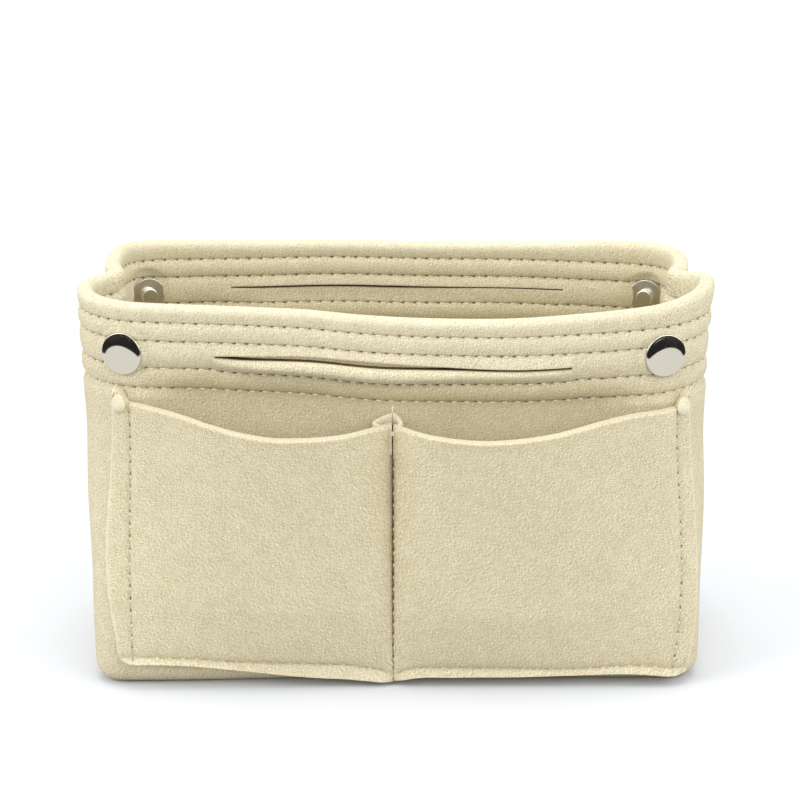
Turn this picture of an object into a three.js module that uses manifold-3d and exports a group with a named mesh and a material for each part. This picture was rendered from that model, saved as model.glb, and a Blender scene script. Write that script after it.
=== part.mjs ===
// Felt purse organizer insert: an open box of thick felt with a turned-in rim band, a handle slit in
// each long wall, two patch pockets on each face, side gussets that fold inwards, a lift-out base
// board and four press snaps at the top corners.
// Millimetres, +Z up. The origin is the middle of the footprint on the table, the front faces -Y.

import * as THREE from "three";
import { mergeVertices } from "three/addons/utils/BufferGeometryUtils.js";
import Module from "manifold-3d";

const wasm = await Module();
wasm.setup();

// Body
const bodyWidth = 210;
const bodyDepth = 90;
const bodyHeight = 130;
const cornerRadius = 24;
const wallBow = 5;

// Felt and the gap between pieces that touch
const feltThickness = 3;
const gap = 0.3;
const overrun = 5;
const weld = 0.0003;

// Turned-in band under the rim
const bandDepth = 34;

// Side gusset: how far its crease sits inwards at the rim, and where wall and gusset part on the corner
const creaseDepth = 10;
const splitShare = 0.55;

// Lean that the walls can take before the corners meet on the folded gusset
const leanDegrees = 11;

// Handle slit
const slitLength = 118;
const slitHeight = 5;
const slitDrop = 18.8;

// Patch pockets
const pocketFelt = 2.5;
const pocketWidth = 98;
const pocketDrop = 38;
const pocketBottom = 4;
const pocketBulge = 11;
const pocketFootShare = 0.36;
const swellPower = 2 / 3;
const mouthDip = 3;
const cornerRise = 5.5;
const centreGap = 1;

// Base board
const boardThickness = 2;
const boardClearance = 3.4;
const notchClearance = 2;

// Press snaps
const snapInset = 15.5;
const snapDrop = 16;
const capRadius = 7.5;
const capRise = 1.9;
const capEdge = 0.7;
const rivetRadius = 1.5;
const rivetHeadRadius = 2.1;
const rivetHead = 0.5;
const flangeRadius = 6;
const flangeThickness = 0.8;
const socketRadius = 4.9;
const socketBore = 3.9;
const socketHeight = 3.6;
const studRadius = 3;
const studNeck = 2.7;
const studWall = 0.4;
const studHeight = 3.4;
const springWire = 0.5;
const springMouthDegrees = 60;

// Fineness of the curves
const frontSteps = 12;
const cornerSteps = 10;
const turnSteps = 20;
const slitEndSteps = 6;
const springSteps = 16;
const pocketColumns = 16;
const pocketRows = 7;
const pocketFootRows = 2;

// Worked out from the sizes above: the side's flat is what the corners and the bow leave of the depth
const halfWidth = bodyWidth / 2;
const halfDepth = bodyDepth / 2;
const halfSide = halfDepth - cornerRadius - wallBow;
const cornerX = halfWidth - cornerRadius;
const frontRadius = (cornerX ** 2 / wallBow + wallBow) / 2 + cornerRadius;
const frontAngle = Math.asin(cornerX / (frontRadius - cornerRadius));
const floorTop = feltThickness + gap;
const wallHeight = bodyHeight - floorTop;
const lean = THREE.MathUtils.degToRad(leanDegrees);
const splitAngle = frontAngle + (Math.PI / 2 - frontAngle) * splitShare;
const frontArc = frontRadius * frontAngle;
const wallPair = 2 * feltThickness + gap;
const pocketTop = bodyHeight - pocketDrop;

const organizer = new THREE.Group();

// Finishes
const felt = { color: 0xcdc39e, roughness: 0.95, metalness: 0 };
const darkFelt = { color: 0xc2b793, roughness: 0.95, metalness: 0 };
const boardFelt = { color: 0xb9ae8b, roughness: 0.9, metalness: 0 };
const nickel = { color: 0xd2d3d4, roughness: 0.14, metalness: 1 };

function addPiece(name, geometry, finish) {
  const mesh = new THREE.Mesh(geometry, new THREE.MeshStandardMaterial(finish));
  mesh.name = name;
  organizer.add(mesh);
  return mesh;
}

// Solids for cutting
function toSolid(geometry) {
  const bare = geometry.clone();
  bare.deleteAttribute("normal");
  bare.deleteAttribute("uv");
  const merged = mergeVertices(bare, weld);
  return new wasm.Manifold(new wasm.Mesh({
    numProp: 3,
    vertProperties: new Float32Array(merged.attributes.position.array),
    triVerts: new Uint32Array(merged.index.array),
  }));
}

function toGeometry(solid) {
  const mesh = solid.getMesh();
  const geometry = new THREE.BufferGeometry();
  geometry.setAttribute("position", new THREE.BufferAttribute(mesh.vertProperties, 3));
  geometry.setIndex(new THREE.BufferAttribute(mesh.triVerts, 1));
  geometry.computeVertexNormals();
  return geometry;
}

function cut(geometry, ...tools) {
  return toGeometry(tools.reduce((left, tool) => left.subtract(toSolid(tool)), toSolid(geometry)));
}

// Outline of the box in plan: two wide shallow arcs and four corner arcs, seen as a point at an angle
// that runs from 0 at the middle of the front to 90 degrees at the flat side, set inwards by inset
function outlineAt(angle, inset) {
  const turn = Math.abs(angle);
  const onFront = turn <= frontAngle;
  const radius = (onFront ? frontRadius : cornerRadius) - inset;
  const centreX = onFront ? 0 : cornerX;
  const centreY = onFront ? frontRadius - halfDepth : -halfSide;
  return new THREE.Vector2(
    Math.sign(angle) * (centreX + radius * Math.sin(turn)),
    centreY - radius * Math.cos(turn),
  );
}

function anglesBetween(from, to, steps) {
  return Array.from({ length: steps + 1 }, (_, i) => from + ((to - from) * i) / steps);
}

// Angles of the whole front wall, from the left split to the right one
function wallAngles() {
  const end = splitAngle - gap / cornerRadius / 2;
  return [
    ...anglesBetween(-end, -frontAngle, cornerSteps / 2),
    ...anglesBetween(-frontAngle, frontAngle, frontSteps).slice(1, -1),
    ...anglesBetween(frontAngle, end, cornerSteps / 2),
  ];
}

// Two plan outlines with the same number of points, joined as a closed solid between two heights
function loft(lower, upper, lowZ, highZ) {
  const count = lower.length;
  const points = [];
  lower.forEach((p) => points.push(p.x, p.y, lowZ));
  upper.forEach((p) => points.push(p.x, p.y, highZ));
  const faces = [];
  THREE.ShapeUtils.triangulateShape(lower, []).forEach(([a, b, c]) => faces.push(c, b, a));
  THREE.ShapeUtils.triangulateShape(upper, []).forEach(([a, b, c]) => {
    faces.push(a + count, b + count, c + count);
  });
  for (let i = 0; i < count; i += 1) {
    const next = (i + 1) % count;
    faces.push(i, next, next + count, i, next + count, i + count);
  }
  const geometry = new THREE.BufferGeometry();
  geometry.setAttribute("position", new THREE.Float32BufferAttribute(points, 3));
  geometry.setIndex(faces);
  return geometry;
}

// Strip of wall in plan between two insets
function wallStrip(outerInset, innerInset) {
  const angles = wallAngles();
  const outer = angles.map((angle) => outlineAt(angle, outerInset));
  const inner = angles.map((angle) => outlineAt(angle, innerInset));
  return [...outer, ...inner.reverse()];
}

// How much longer the felt is across its slant than square to it, at a given crease depth
function slantOf(depth) {
  return Math.hypot(1, depth / halfSide);
}

// Strip of the front half of the right gusset in plan, its crease set in by the given depth
function gussetStrip(outerInset, innerInset, depth) {
  const start = splitAngle + gap / cornerRadius / 2;
  const angles = anglesBetween(start, Math.PI / 2, cornerSteps / 2);
  const creaseAt = (inset) => new THREE.Vector2(halfWidth - depth - inset * slantOf(depth), -gap / 2);
  const outer = [...angles.map((angle) => outlineAt(angle, outerInset)), creaseAt(outerInset)];
  const inner = [...angles.map((angle) => outlineAt(angle, innerInset)), creaseAt(innerInset)];
  return [...outer, ...inner.reverse()];
}

// Closed outline of the floor in plan, set inwards by inset
function floorLoop(inset) {
  const angles = wallAngles();
  const corner = anglesBetween(splitAngle, Math.PI / 2, cornerSteps / 2);
  const side = corner.map((angle) => outlineAt(angle, inset));
  const front = [
    ...side.map((p) => new THREE.Vector2(-p.x, p.y)).reverse(),
    ...angles.map((angle) => outlineAt(angle, inset)),
    ...side,
  ];
  return [...front, ...front.map((p) => new THREE.Vector2(-p.x, -p.y))];
}

// Mirror copies, with their faces turned back outwards
function mirrored(geometry, flipX, flipY) {
  const copy = geometry.clone();
  copy.deleteAttribute("normal");
  copy.scale(flipX ? -1 : 1, flipY ? -1 : 1, 1);
  if (flipX !== flipY) {
    const index = copy.index.array;
    for (let i = 0; i < index.length; i += 3) {
      [index[i], index[i + 1]] = [index[i + 1], index[i]];
    }
  }
  return copy;
}

// Floor and base board. Its end notches let it pass the gusset creases when it is lifted out, so they
// are stretched along the ends until they follow the slant of the folded felt
function makeFloor() {
  const panel = floorLoop(0);
  addPiece("bottom_panel", loft(panel, panel, 0, feltThickness), felt);

  const boardInset = wallPair + boardClearance;
  const edge = floorLoop(boardInset);
  const boardBottom = floorTop;
  const boardTop = boardBottom + boardThickness;
  const notchDepth = creaseDepth + wallPair * slantOf(creaseDepth) - boardInset + notchClearance;
  const notchStretch = Math.max(1, halfSide / creaseDepth);
  const notch = new THREE.CylinderGeometry(
    notchDepth, notchDepth, boardThickness + 2 * overrun, turnSteps,
  );
  notch.rotateX(Math.PI / 2);
  notch.scale(1, notchStretch, 1);
  notch.translate(halfWidth - boardInset, 0, boardBottom + boardThickness / 2);
  const board = cut(loft(edge, edge, boardBottom, boardTop), notch, mirrored(notch, true, false));
  addPiece("base_board", board, boardFelt);
}

// Handle slit, a long flat hole with round ends, cut right through the front wall
function slitTool() {
  const reach = (slitLength - slitHeight) / 2;
  const shape = new THREE.Shape();
  shape.absarc(reach, 0, slitHeight / 2, -Math.PI / 2, Math.PI / 2);
  shape.absarc(-reach, 0, slitHeight / 2, Math.PI / 2, (3 * Math.PI) / 2);
  const extrusion = { depth: wallPair + 2 * overrun, bevelEnabled: false, curveSegments: slitEndSteps };
  const tool = new THREE.ExtrudeGeometry(shape, extrusion);
  tool.rotateX(Math.PI / 2);
  tool.translate(0, -halfDepth + wallPair + overrun, bodyHeight - slitDrop);
  return tool;
}

// Wedge under a wall: once the wall has leaned as far as it goes, its lower edge lies flat on the floor
function leanTool() {
  const drop = Math.tan(lean) * bodyDepth;
  const shape = new THREE.Shape([
    new THREE.Vector2(-halfDepth - overrun, floorTop - overrun),
    new THREE.Vector2(halfDepth, floorTop - overrun),
    new THREE.Vector2(halfDepth, floorTop + drop),
    new THREE.Vector2(-halfDepth, floorTop),
    new THREE.Vector2(-halfDepth - overrun, floorTop),
  ]);
  const tool = new THREE.ExtrudeGeometry(shape, { depth: bodyWidth + 2 * overrun, bevelEnabled: false });
  tool.rotateX(Math.PI / 2);
  tool.rotateZ(Math.PI / 2);
  tool.translate(-halfWidth - overrun, 0, 0);
  return tool;
}

// Place of a snap on the outer face of the front right corner, and the way its cap faces
const snapAngle = Math.asin((cornerRadius - snapInset) / cornerRadius);
const snapPlace = outlineAt(snapAngle, 0);
const snapZ = bodyHeight - snapDrop;
const snapFacing = new THREE.Vector3(Math.sin(snapAngle), -Math.cos(snapAngle), 0);

// Where the inner flange seats: the felt there is pressed flat by the depth of its curve
const innerCurve = cornerRadius - wallPair;
const pressedFlat = innerCurve - Math.sqrt(innerCurve ** 2 - (flangeRadius + gap) ** 2);
const seatDepth = wallPair - pressedFlat;

function placeSnap(geometry, flipX, flipY) {
  const turned = geometry.clone();
  const turn = new THREE.Quaternion().setFromUnitVectors(new THREE.Vector3(0, 1, 0), snapFacing);
  turned.applyQuaternion(turn);
  turned.translate(snapPlace.x, snapPlace.y, snapZ);
  return mirrored(turned.index ? turned : mergeVertices(turned), flipX, flipY);
}

function snapHole() {
  const length = wallPair + 2 * overrun;
  const radius = rivetRadius + gap;
  const hole = new THREE.CylinderGeometry(radius, radius, length, turnSteps);
  hole.translate(0, -wallPair / 2, 0);
  return hole;
}

function snapSeat() {
  const radius = flangeRadius + gap;
  const seat = new THREE.CylinderGeometry(radius, radius, overrun, turnSteps);
  seat.translate(0, -seatDepth - overrun / 2, 0);
  return seat;
}

function makeWalls() {
  const holes = [placeSnap(snapHole(), false, false), placeSnap(snapHole(), true, false)];
  const seats = [placeSnap(snapSeat(), false, false), placeSnap(snapSeat(), true, false)];

  const outer = wallStrip(0, feltThickness);
  const panel = cut(loft(outer, outer, floorTop, bodyHeight), leanTool(), slitTool(), ...holes);
  addPiece("front_panel", panel, felt);
  addPiece("back_panel", mirrored(panel, false, true), felt);

  const inner = wallStrip(feltThickness + gap, wallPair);
  const band = loft(inner, inner, bodyHeight - bandDepth, bodyHeight);
  const hem = cut(band, slitTool(), ...holes, ...seats);
  addPiece("front_rim_band", hem, darkFelt);
  addPiece("back_rim_band", mirrored(hem, false, true), darkFelt);
}

// Gusset halves and the bands along their rims: upright at the floor, creased inwards at the rim
function makeGussets() {
  const outerStrip = (depth) => gussetStrip(0, feltThickness, depth);
  const half = loft(outerStrip(0), outerStrip(creaseDepth), floorTop, bodyHeight);

  const bandBottom = bodyHeight - bandDepth;
  const depthAtBand = (creaseDepth * (bandBottom - floorTop)) / wallHeight;
  const innerStrip = (depth) => gussetStrip(feltThickness + gap, wallPair, depth);
  const band = loft(innerStrip(depthAtBand), innerStrip(creaseDepth), bandBottom, bodyHeight);

  for (const [face, flipY] of [["front", false], ["back", true]]) {
    for (const [side, flipX] of [["left", true], ["right", false]]) {
      addPiece(`${side}_gusset_${face}`, mirrored(half, flipX, flipY), felt);
      addPiece(`${side}_gusset_${face}_band`, mirrored(band, flipX, flipY), darkFelt);
    }
  }
}

// Patch pocket: a felt sheet on the face of the wall, sewn along its foot and both sides and standing
// off in between. across runs from the centre seam to the outer seam, up from the foot to the mouth
function pocketPoint(across, up, lift) {
  const along = centreGap / 2 + (pocketWidth - centreGap / 2) * across;
  const angle = along < frontArc ? along / frontRadius : frontAngle + (along - frontArc) / cornerRadius;
  const swell = Math.sin(Math.PI * across) ** swellPower;
  const height = pocketFootShare + (1 - pocketFootShare) * up;
  const foot = Math.min(1, Math.sqrt((up * pocketRows) / pocketFootRows));
  const standOff = gap + pocketBulge * swell * height * foot + lift;
  const place = outlineAt(angle, -standOff);
  const mouth = pocketTop + cornerRise * across ** 2 - mouthDip * swell;
  return new THREE.Vector3(place.x, place.y, pocketBottom + (mouth - pocketBottom) * up);
}

function makePockets() {
  const points = [];
  const faces = [];
  const rowSize = pocketColumns + 1;
  const sheetSize = rowSize * (pocketRows + 1);
  for (const lift of [0, pocketFelt]) {
    for (let row = 0; row <= pocketRows; row += 1) {
      for (let column = 0; column <= pocketColumns; column += 1) {
        points.push(...pocketPoint(column / pocketColumns, row / pocketRows, lift));
      }
    }
  }
  for (let row = 0; row < pocketRows; row += 1) {
    for (let column = 0; column < pocketColumns; column += 1) {
      const a = row * rowSize + column;
      const [b, c, d] = [a + 1, a + rowSize + 1, a + rowSize];
      faces.push(a, c, b, a, d, c);
      const [e, f, g, h] = [a, b, c, d].map((i) => i + sheetSize);
      faces.push(e, f, g, e, g, h);
    }
  }
  const edge = [];
  for (let column = 0; column < pocketColumns; column += 1) edge.push(column);
  for (let row = 0; row < pocketRows; row += 1) edge.push(row * rowSize + pocketColumns);
  for (let column = pocketColumns; column > 0; column -= 1) edge.push(pocketRows * rowSize + column);
  for (let row = pocketRows; row > 0; row -= 1) edge.push(row * rowSize);
  edge.forEach((from, i) => {
    const to = edge[(i + 1) % edge.length];
    faces.push(from, to, to + sheetSize, from, to + sheetSize, from + sheetSize);
  });
  const pocket = new THREE.BufferGeometry();
  pocket.setAttribute("position", new THREE.Float32BufferAttribute(points, 3));
  pocket.setIndex(faces);
  addPiece("front_left_pocket", mirrored(pocket, true, false), felt);
  addPiece("front_right_pocket", pocket, felt);
  addPiece("back_left_pocket", mirrored(pocket, true, true), felt);
  addPiece("back_right_pocket", mirrored(pocket, false, true), felt);
}

// Press snaps, turned round the Y axis: the felt's outer face is at 0 and the cap faces +Y
function turned(profile) {
  const geometry = new THREE.LatheGeometry(profile.map(([r, y]) => new THREE.Vector2(r, y)), turnSteps);
  geometry.deleteAttribute("normal");
  geometry.deleteAttribute("uv");
  return mergeVertices(geometry, weld);
}

const flangeOuter = -seatDepth - gap;
const flangeInner = flangeOuter - flangeThickness;
const rivetEnd = flangeInner - gap - rivetHead;

// Domed cap with its rivet, the head closed over the flange inside
const domeShares = [[0.8, 0.7], [0.5, 0.92]];

function capProfile() {
  return [
    [0, rivetEnd],
    [rivetHeadRadius, rivetEnd],
    [rivetHeadRadius, rivetEnd + rivetHead],
    [rivetRadius, rivetEnd + rivetHead],
    [rivetRadius, gap],
    [capRadius - capEdge / 2, gap],
    [capRadius, gap + capEdge / 2],
    [capRadius - capEdge / 3, gap + capEdge],
    ...domeShares.map(([out, rise]) => [capRadius * out, gap + capRise * rise]),
    [0, gap + capRise],
  ];
}

function socketProfile() {
  return [
    [rivetRadius + gap, flangeOuter],
    [rivetRadius + gap, flangeInner],
    [socketBore, flangeInner],
    [socketBore, flangeOuter - socketHeight],
    [socketRadius, flangeOuter - socketHeight],
    [socketRadius, flangeInner],
    [flangeRadius, flangeInner],
    [flangeRadius, flangeOuter],
    [rivetRadius + gap, flangeOuter],
  ];
}

function studProfile() {
  const tip = flangeOuter - studHeight;
  return [
    [0, tip + studWall],
    [studNeck - studWall, tip + studWall],
    [studNeck - studWall, flangeInner],
    [rivetRadius + gap, flangeInner],
    [rivetRadius + gap, flangeOuter],
    [flangeRadius, flangeOuter],
    [flangeRadius, flangeInner],
    [studNeck, flangeInner],
    [studNeck, tip + studRadius - studNeck + studWall],
    [studRadius, tip + studWall],
    [studNeck, tip],
    [0, tip],
  ].reverse();
}

// Open wire ring that snaps over the neck of the stud
function springRing() {
  const outerRadius = socketBore - gap;
  const innerRadius = outerRadius - springWire;
  const open = THREE.MathUtils.degToRad(springMouthDegrees / 2);
  const shape = new THREE.Shape();
  shape.absarc(0, 0, outerRadius, open, 2 * Math.PI - open);
  shape.absarc(0, 0, innerRadius, 2 * Math.PI - open, open, true);
  const extrusion = { depth: springWire, bevelEnabled: false, curveSegments: springSteps };
  const ring = new THREE.ExtrudeGeometry(shape, extrusion);
  ring.rotateX(Math.PI / 2);
  ring.translate(0, flangeOuter - socketHeight + 2 * springWire, 0);
  ring.deleteAttribute("normal");
  ring.deleteAttribute("uv");
  return mergeVertices(ring, weld);
}

function makeSnaps() {
  const cap = turned(capProfile());
  const socket = turned(socketProfile());
  const stud = turned(studProfile());
  const spring = springRing();
  for (const [side, flipX] of [["left", true], ["right", false]]) {
    addPiece(`front_${side}_snap_cap`, placeSnap(cap, flipX, false), nickel);
    addPiece(`front_${side}_snap_socket`, placeSnap(socket, flipX, false), nickel);
    addPiece(`front_${side}_snap_spring`, placeSnap(spring, flipX, false), nickel);
    addPiece(`back_${side}_snap_cap`, placeSnap(cap, flipX, true), nickel);
    addPiece(`back_${side}_snap_stud`, placeSnap(stud, flipX, true), nickel);
  }
}

makeFloor();
makeWalls();
makeGussets();
makePockets();
makeSnaps();

export default organizer;
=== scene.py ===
import math
import bpy
import numpy as np
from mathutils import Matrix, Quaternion, Vector


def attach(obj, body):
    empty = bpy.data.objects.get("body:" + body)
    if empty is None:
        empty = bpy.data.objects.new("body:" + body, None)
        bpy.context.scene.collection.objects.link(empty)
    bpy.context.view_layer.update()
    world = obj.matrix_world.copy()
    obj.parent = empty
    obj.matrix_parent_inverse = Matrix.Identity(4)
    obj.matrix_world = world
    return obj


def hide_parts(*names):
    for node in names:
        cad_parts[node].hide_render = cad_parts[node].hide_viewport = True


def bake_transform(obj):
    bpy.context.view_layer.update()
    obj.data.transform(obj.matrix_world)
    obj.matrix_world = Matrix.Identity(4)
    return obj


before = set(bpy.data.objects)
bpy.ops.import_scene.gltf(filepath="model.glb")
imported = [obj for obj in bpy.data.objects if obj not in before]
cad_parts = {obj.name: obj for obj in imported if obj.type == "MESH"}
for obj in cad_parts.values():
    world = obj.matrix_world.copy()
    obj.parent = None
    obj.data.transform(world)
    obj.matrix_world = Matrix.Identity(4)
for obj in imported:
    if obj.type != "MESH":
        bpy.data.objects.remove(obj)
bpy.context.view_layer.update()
print("frame loaded:", len(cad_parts), "nodes")

# Lengths are in millimetres until a mesh is made. Every shape is worked out for the front face, where
# s is the length along the outline from the middle, and turned over for the back.

box = {
    "halfWidth": 105.0, "halfDepth": 45.0, "height": 130.0, "floorTop": 3.3,
    "corner": 24.0, "bow": 5.0,                # plan of the rim
    "footCorner": 10.5, "footBow": 1.2,        # plan of the foot, squarer than the rim
    "footTwist": 0.127,                        # how much further forward the left front foot stands
    "twistAlong": (0, 90), "footMix": (0, 100),
    "felt": 3.0, "pair": 6.3, "bandBottom": 96.0, "footRound": 6.5, "shellEnd": 70.0, "overRise": 1.02,
    "creaseDepth": 11.3, "creaseSpan": 16.0, "creaseSoft": 0.12, "creasePower": 1.15,
    "backDraw": 6.6, "drawAlong": (93, 119),   # how far the back lobes lean in at the rim, and where
    "rows": (124.2, 118.0, 108.6, 101.7), "rowAbove": 139.0, "pitch": 4.2,   # stitched rows
    "noSeam": 9.0,                             # distance that stands for no stitching near
    "quilt": 1.15, "pillow": 0.6, "ease": 3.5, "holeDepth": 0.3, "holeWidth": 0.5, "quiltFoot": (96, 99),
    "hollow": 1.9, "hollowFoot": (10, 60), "hollowTop": (99, 119), "recessEnds": (62, 88),
    "ledge": 1.0, "ledgeFoot": (16, 70), "ledgeTop": (98.5, 101.6), "backRecess": 0.5, "innerRecess": 0.4,
    "wave": 0.45, "waveSpan": (21, 26), "waveFoot": (4, 30), "waveTop": (80, 98),
    "ripple": 0.35, "rippleSpan": (9.5, 33), "rippleFoot": (20, 60),
    "wavePhase": (1.3, 0.4), "skin": 1.0,      # skin: what lies less deep belongs to the outer face
    "nudge": 0.2,                              # step of the slopes that are measured along the outline
    "widerAlong": (66, 116),                   # the side changes by these widths at these heights
    "widthHeights": (0, 10, 30, 60, 85, 99, 110, 117, 124, 128, 131),
    "rightChanges": (-2.3, -1.6, -0.5, 0.0, -0.5, 0.0, 0.4, 0.8, 1.8, 2.6, 2.7),
    "leftChanges": (-4.9, -4.2, -2.7, -0.9, -0.4, 0.3, 1.0, 1.4, 1.8, 2.2, 2.2),
}

slit = {
    "height": 114.2, "halfLength": 59.0, "lipStart": 95.0,
    "crisp": 0.5, "curl": 0.8, "roll": 2.3, "turned": 0.98, "fullPush": 3.0, "openFrom": (0.1, 0.5),
    "places": (-59, -52, -38, -20, -5, 10, 25, 40, 52, 59),
    "gapes": (0.6, 1.2, 1.5, 1.6, 1.8, 1.3, 0.8, 0.7, 0.7, 0.7),
    "pushes": (0.5, 2.0, 3.3, 3.9, 3.8, 3.0, 2.1, 1.5, 1.1, 0.6),
    "backShares": {"gapes": 0.45, "pushes": 0.3},   # how much of both the back slit has
    "bulgeShare": 0.62, "flare": 0.9, "flareGape": 0.6,
    "drift": 0.8, "driftPlace": 18.0, "driftSpan": 19.0, "driftRise": 2.6,
    "groove": 0.7, "grooveWidth": 0.16, "belly": 0.25, "grooveFrom": (0.15, 0.8),
}

sag = {
    "dropStart": (66, 108), "crownStart": (123, 130),
    "places": (-135, -84, -44, -28, -12, 4, 20, 40, 58, 72, 86, 100, 118, 135),
    "frontDrops": (-0.65, -0.65, -0.3, 0.05, 1.5, 2.6, 3.0, 3.15, 2.8, 2.35, 1.4, 0.35, 0.1, 0.55),
    "backDrops": (-1.15, -1.75, -1.9, -2.05, -1.9, -1.65, -1.5, -1.45, -1.3, -1.15, -0.7, -0.15, 0.3,
                  0.6),
    "frontCrowns": (1.8, 0.3, 0, 0, 0, 0, 0, 0.2, 0.6, 1.1, 1.9, 3.4, 5.8, 3.6),   # rim above its row
    "backCrowns": (1.3, 1.2, 0.4, 0, 0, 0, 0, 0.3, 1.1, 1.9, 2.3, 1.9, 2.3, 3.6),
}

snap = {
    "inset": 15.5, "height": 114.0, "capRadius": 7.2, "capRise": 1.9, "capEdge": 0.7, "gap": 0.3,
    "rivetRadius": 1.5, "headRadius": 2.1, "head": 0.5, "flangeRadius": 6.0, "flange": 0.8,
    "socketRadius": 4.9, "bore": 3.9, "socketHeight": 3.6, "studRadius": 3.0, "neck": 2.7,
    "studHeight": 3.4, "studWall": 0.4, "wire": 0.5, "mouth": 60.0,
    "press": 1.3, "innerPress": (6.2, 8.6), "outerPress": (6.8, 9.5),   # how the felt is pressed flat
    "ring": 0.3, "ringRadius": 8.4, "ringWidth": 1.2,
    "shankRound": 0.15, "socketRound": 0.3, "studRound": 0.22,
    "domeSteps": 14, "edgeSteps": 8, "capSides": 96, "sharp": 38,
    "wireUp": 0.75, "wireSteps": 49, "wireSides": 8, "wireEnds": (0.02, 0.7),   # the ring spring
}


def fade(x, start, end):
    # Smooth step: 0 before start, 1 after end, 3t^2 - 2t^3 between them
    t = np.clip((x - start) / (end - start), 0, 1)
    return t * t * (3 - 2 * t)


def bell(x, centre, width):
    # exp(-((x - centre) / width)^2)
    return np.exp(-(((x - centre) / width) ** 2))


def through(x, places, values):
    # Smooth curve through chosen points: cubic pieces whose end slopes are the slopes between neighbours
    places, values = np.asarray(places, float), np.asarray(values, float)
    slopes = np.gradient(values, places)
    x = np.clip(x, places[0], places[-1])
    i = np.clip(np.searchsorted(places, x) - 1, 0, len(places) - 2)
    span = places[i + 1] - places[i]
    t = (x - places[i]) / span
    start = (1 + 2 * t) * (1 - t) ** 2 * values[i] + t * (1 - t) ** 2 * span * slopes[i]
    return start + t * t * (3 - 2 * t) * values[i + 1] + t * t * (t - 1) * span * slopes[i + 1]


def outlineParts(corner, bow):
    # Radius and turn of the shallow front arc, and the lengths of front arc, corner arc and flat end
    flat = box["halfDepth"] - corner - bow
    reach = box["halfWidth"] - corner
    radius = (reach ** 2 / bow + bow) / 2 + corner
    turn = math.asin(reach / (radius - corner))
    return radius, turn, radius * turn, corner * (math.pi / 2 - turn), flat


outlineLength = sum(outlineParts(box["corner"], box["bow"])[2:])
frontTurn, frontLength = outlineParts(box["corner"], box["bow"])[1:3]
snapAngle = math.asin((box["corner"] - snap["inset"]) / box["corner"])
snapAlong = frontLength + box["corner"] * (snapAngle - frontTurn)


def outline(s, corner, bow):
    # Point at share s / outlineLength of the half outline: front arc, then corner arc, then flat end
    radius, turn, front, bend, flat = outlineParts(corner, bow)
    a = np.abs(s) * (front + bend + flat) / outlineLength
    angle = np.where(a <= front, a / radius, turn + (a - front) / corner)
    angle = np.minimum(angle, math.pi / 2)
    centreX, r = np.where(a <= front, 0, box["halfWidth"] - corner), np.where(a <= front, radius, corner)
    centreY = np.where(a <= front, radius - box["halfDepth"], -flat)
    x = centreX + r * np.sin(angle)
    y = centreY - r * np.cos(angle) + np.maximum(a - front - bend, 0)
    return np.sign(s) * x, y


def planPoint(s, z, back):
    # Outline of the box at a height: the rim's plan mixed with the foot's, wider or narrower by the change
    # for that height and side, and creased in by depth * (1 - t)^2, where t grows from the crease to the
    # corner. The back lobes lean in at the rim, and the front foot stands further forward on the left
    rimX, rimY = outline(s, box["corner"], box["bow"])
    footX, footY = outline(s, box["footCorner"], box["footBow"])
    low = 1 - fade(z, *box["footMix"])
    x, y = rimX + (footX - rimX) * low, rimY + (footY - rimY) * low
    rise = np.clip((z - box["floorTop"]) / (box["height"] - box["floorTop"]), 0, box["overRise"])
    t = np.sqrt((y / box["creaseSpan"]) ** 2 + box["creaseSoft"] ** 2)
    inward = box["creaseDepth"] * rise ** box["creasePower"] * np.clip(1 - t, 0, None) ** 2
    wider = np.where(np.asarray(s) < 0, through(z, box["widthHeights"], box["leftChanges"]),
                     through(z, box["widthHeights"], box["rightChanges"]))
    inward = inward - wider * fade(np.abs(s), *box["widerAlong"])
    if back:
        start, end = box["drawAlong"]
        along = np.clip((np.abs(s) - end) / box["creaseSpan"], 0, 1)
        inward = inward + box["backDraw"] * rise ** 2 * fade(np.abs(s), start, end) * (1 - along ** 2)
    else:
        y = y * (1 + box["footTwist"] * low * fade(-np.asarray(s, float), *box["twistAlong"]))
    return x - np.sign(s) * inward, y


def quilting(s, v):
    # Depth of the stitched band under its pillows: quilt * (1 - (4 t (1 - t))^pillow) with t between two
    # rows, easing off below the lowest row, and a little deeper at the needle holes
    marks = np.array([*sorted(box["rows"]), box["rowAbove"]])
    i = np.clip(np.searchsorted(marks, v) - 1, 0, len(marks) - 2)
    t = np.clip((v - marks[i]) / (marks[i + 1] - marks[i]), 0, 1)
    pillow = np.where(v > marks[0], (4 * t * (1 - t)) ** box["pillow"], fade(marks[0] - v, 0, box["ease"]))
    nearest = np.min([np.abs(v - row) for row in box["rows"]], axis=0)
    holes = 0.5 - 0.5 * np.cos(2 * math.pi * s / box["pitch"])
    return box["quilt"] * (1 - pillow) + box["holeDepth"] * bell(nearest, 0, box["holeWidth"]) * holes


def wallRecess(s, v):
    # How far the face falls back under the band: a broad hollow and a ledge just below the lowest row,
    # each fading in and out over its own heights, both only between the corners
    hollow = box["hollow"] * fade(v, *box["hollowFoot"]) * (1 - fade(v, *box["hollowTop"]))
    ledge = box["ledge"] * fade(v, *box["ledgeFoot"]) * (1 - fade(v, *box["ledgeTop"]))
    return (hollow + ledge) * (1 - fade(np.abs(s), *box["recessEnds"]))


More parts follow.
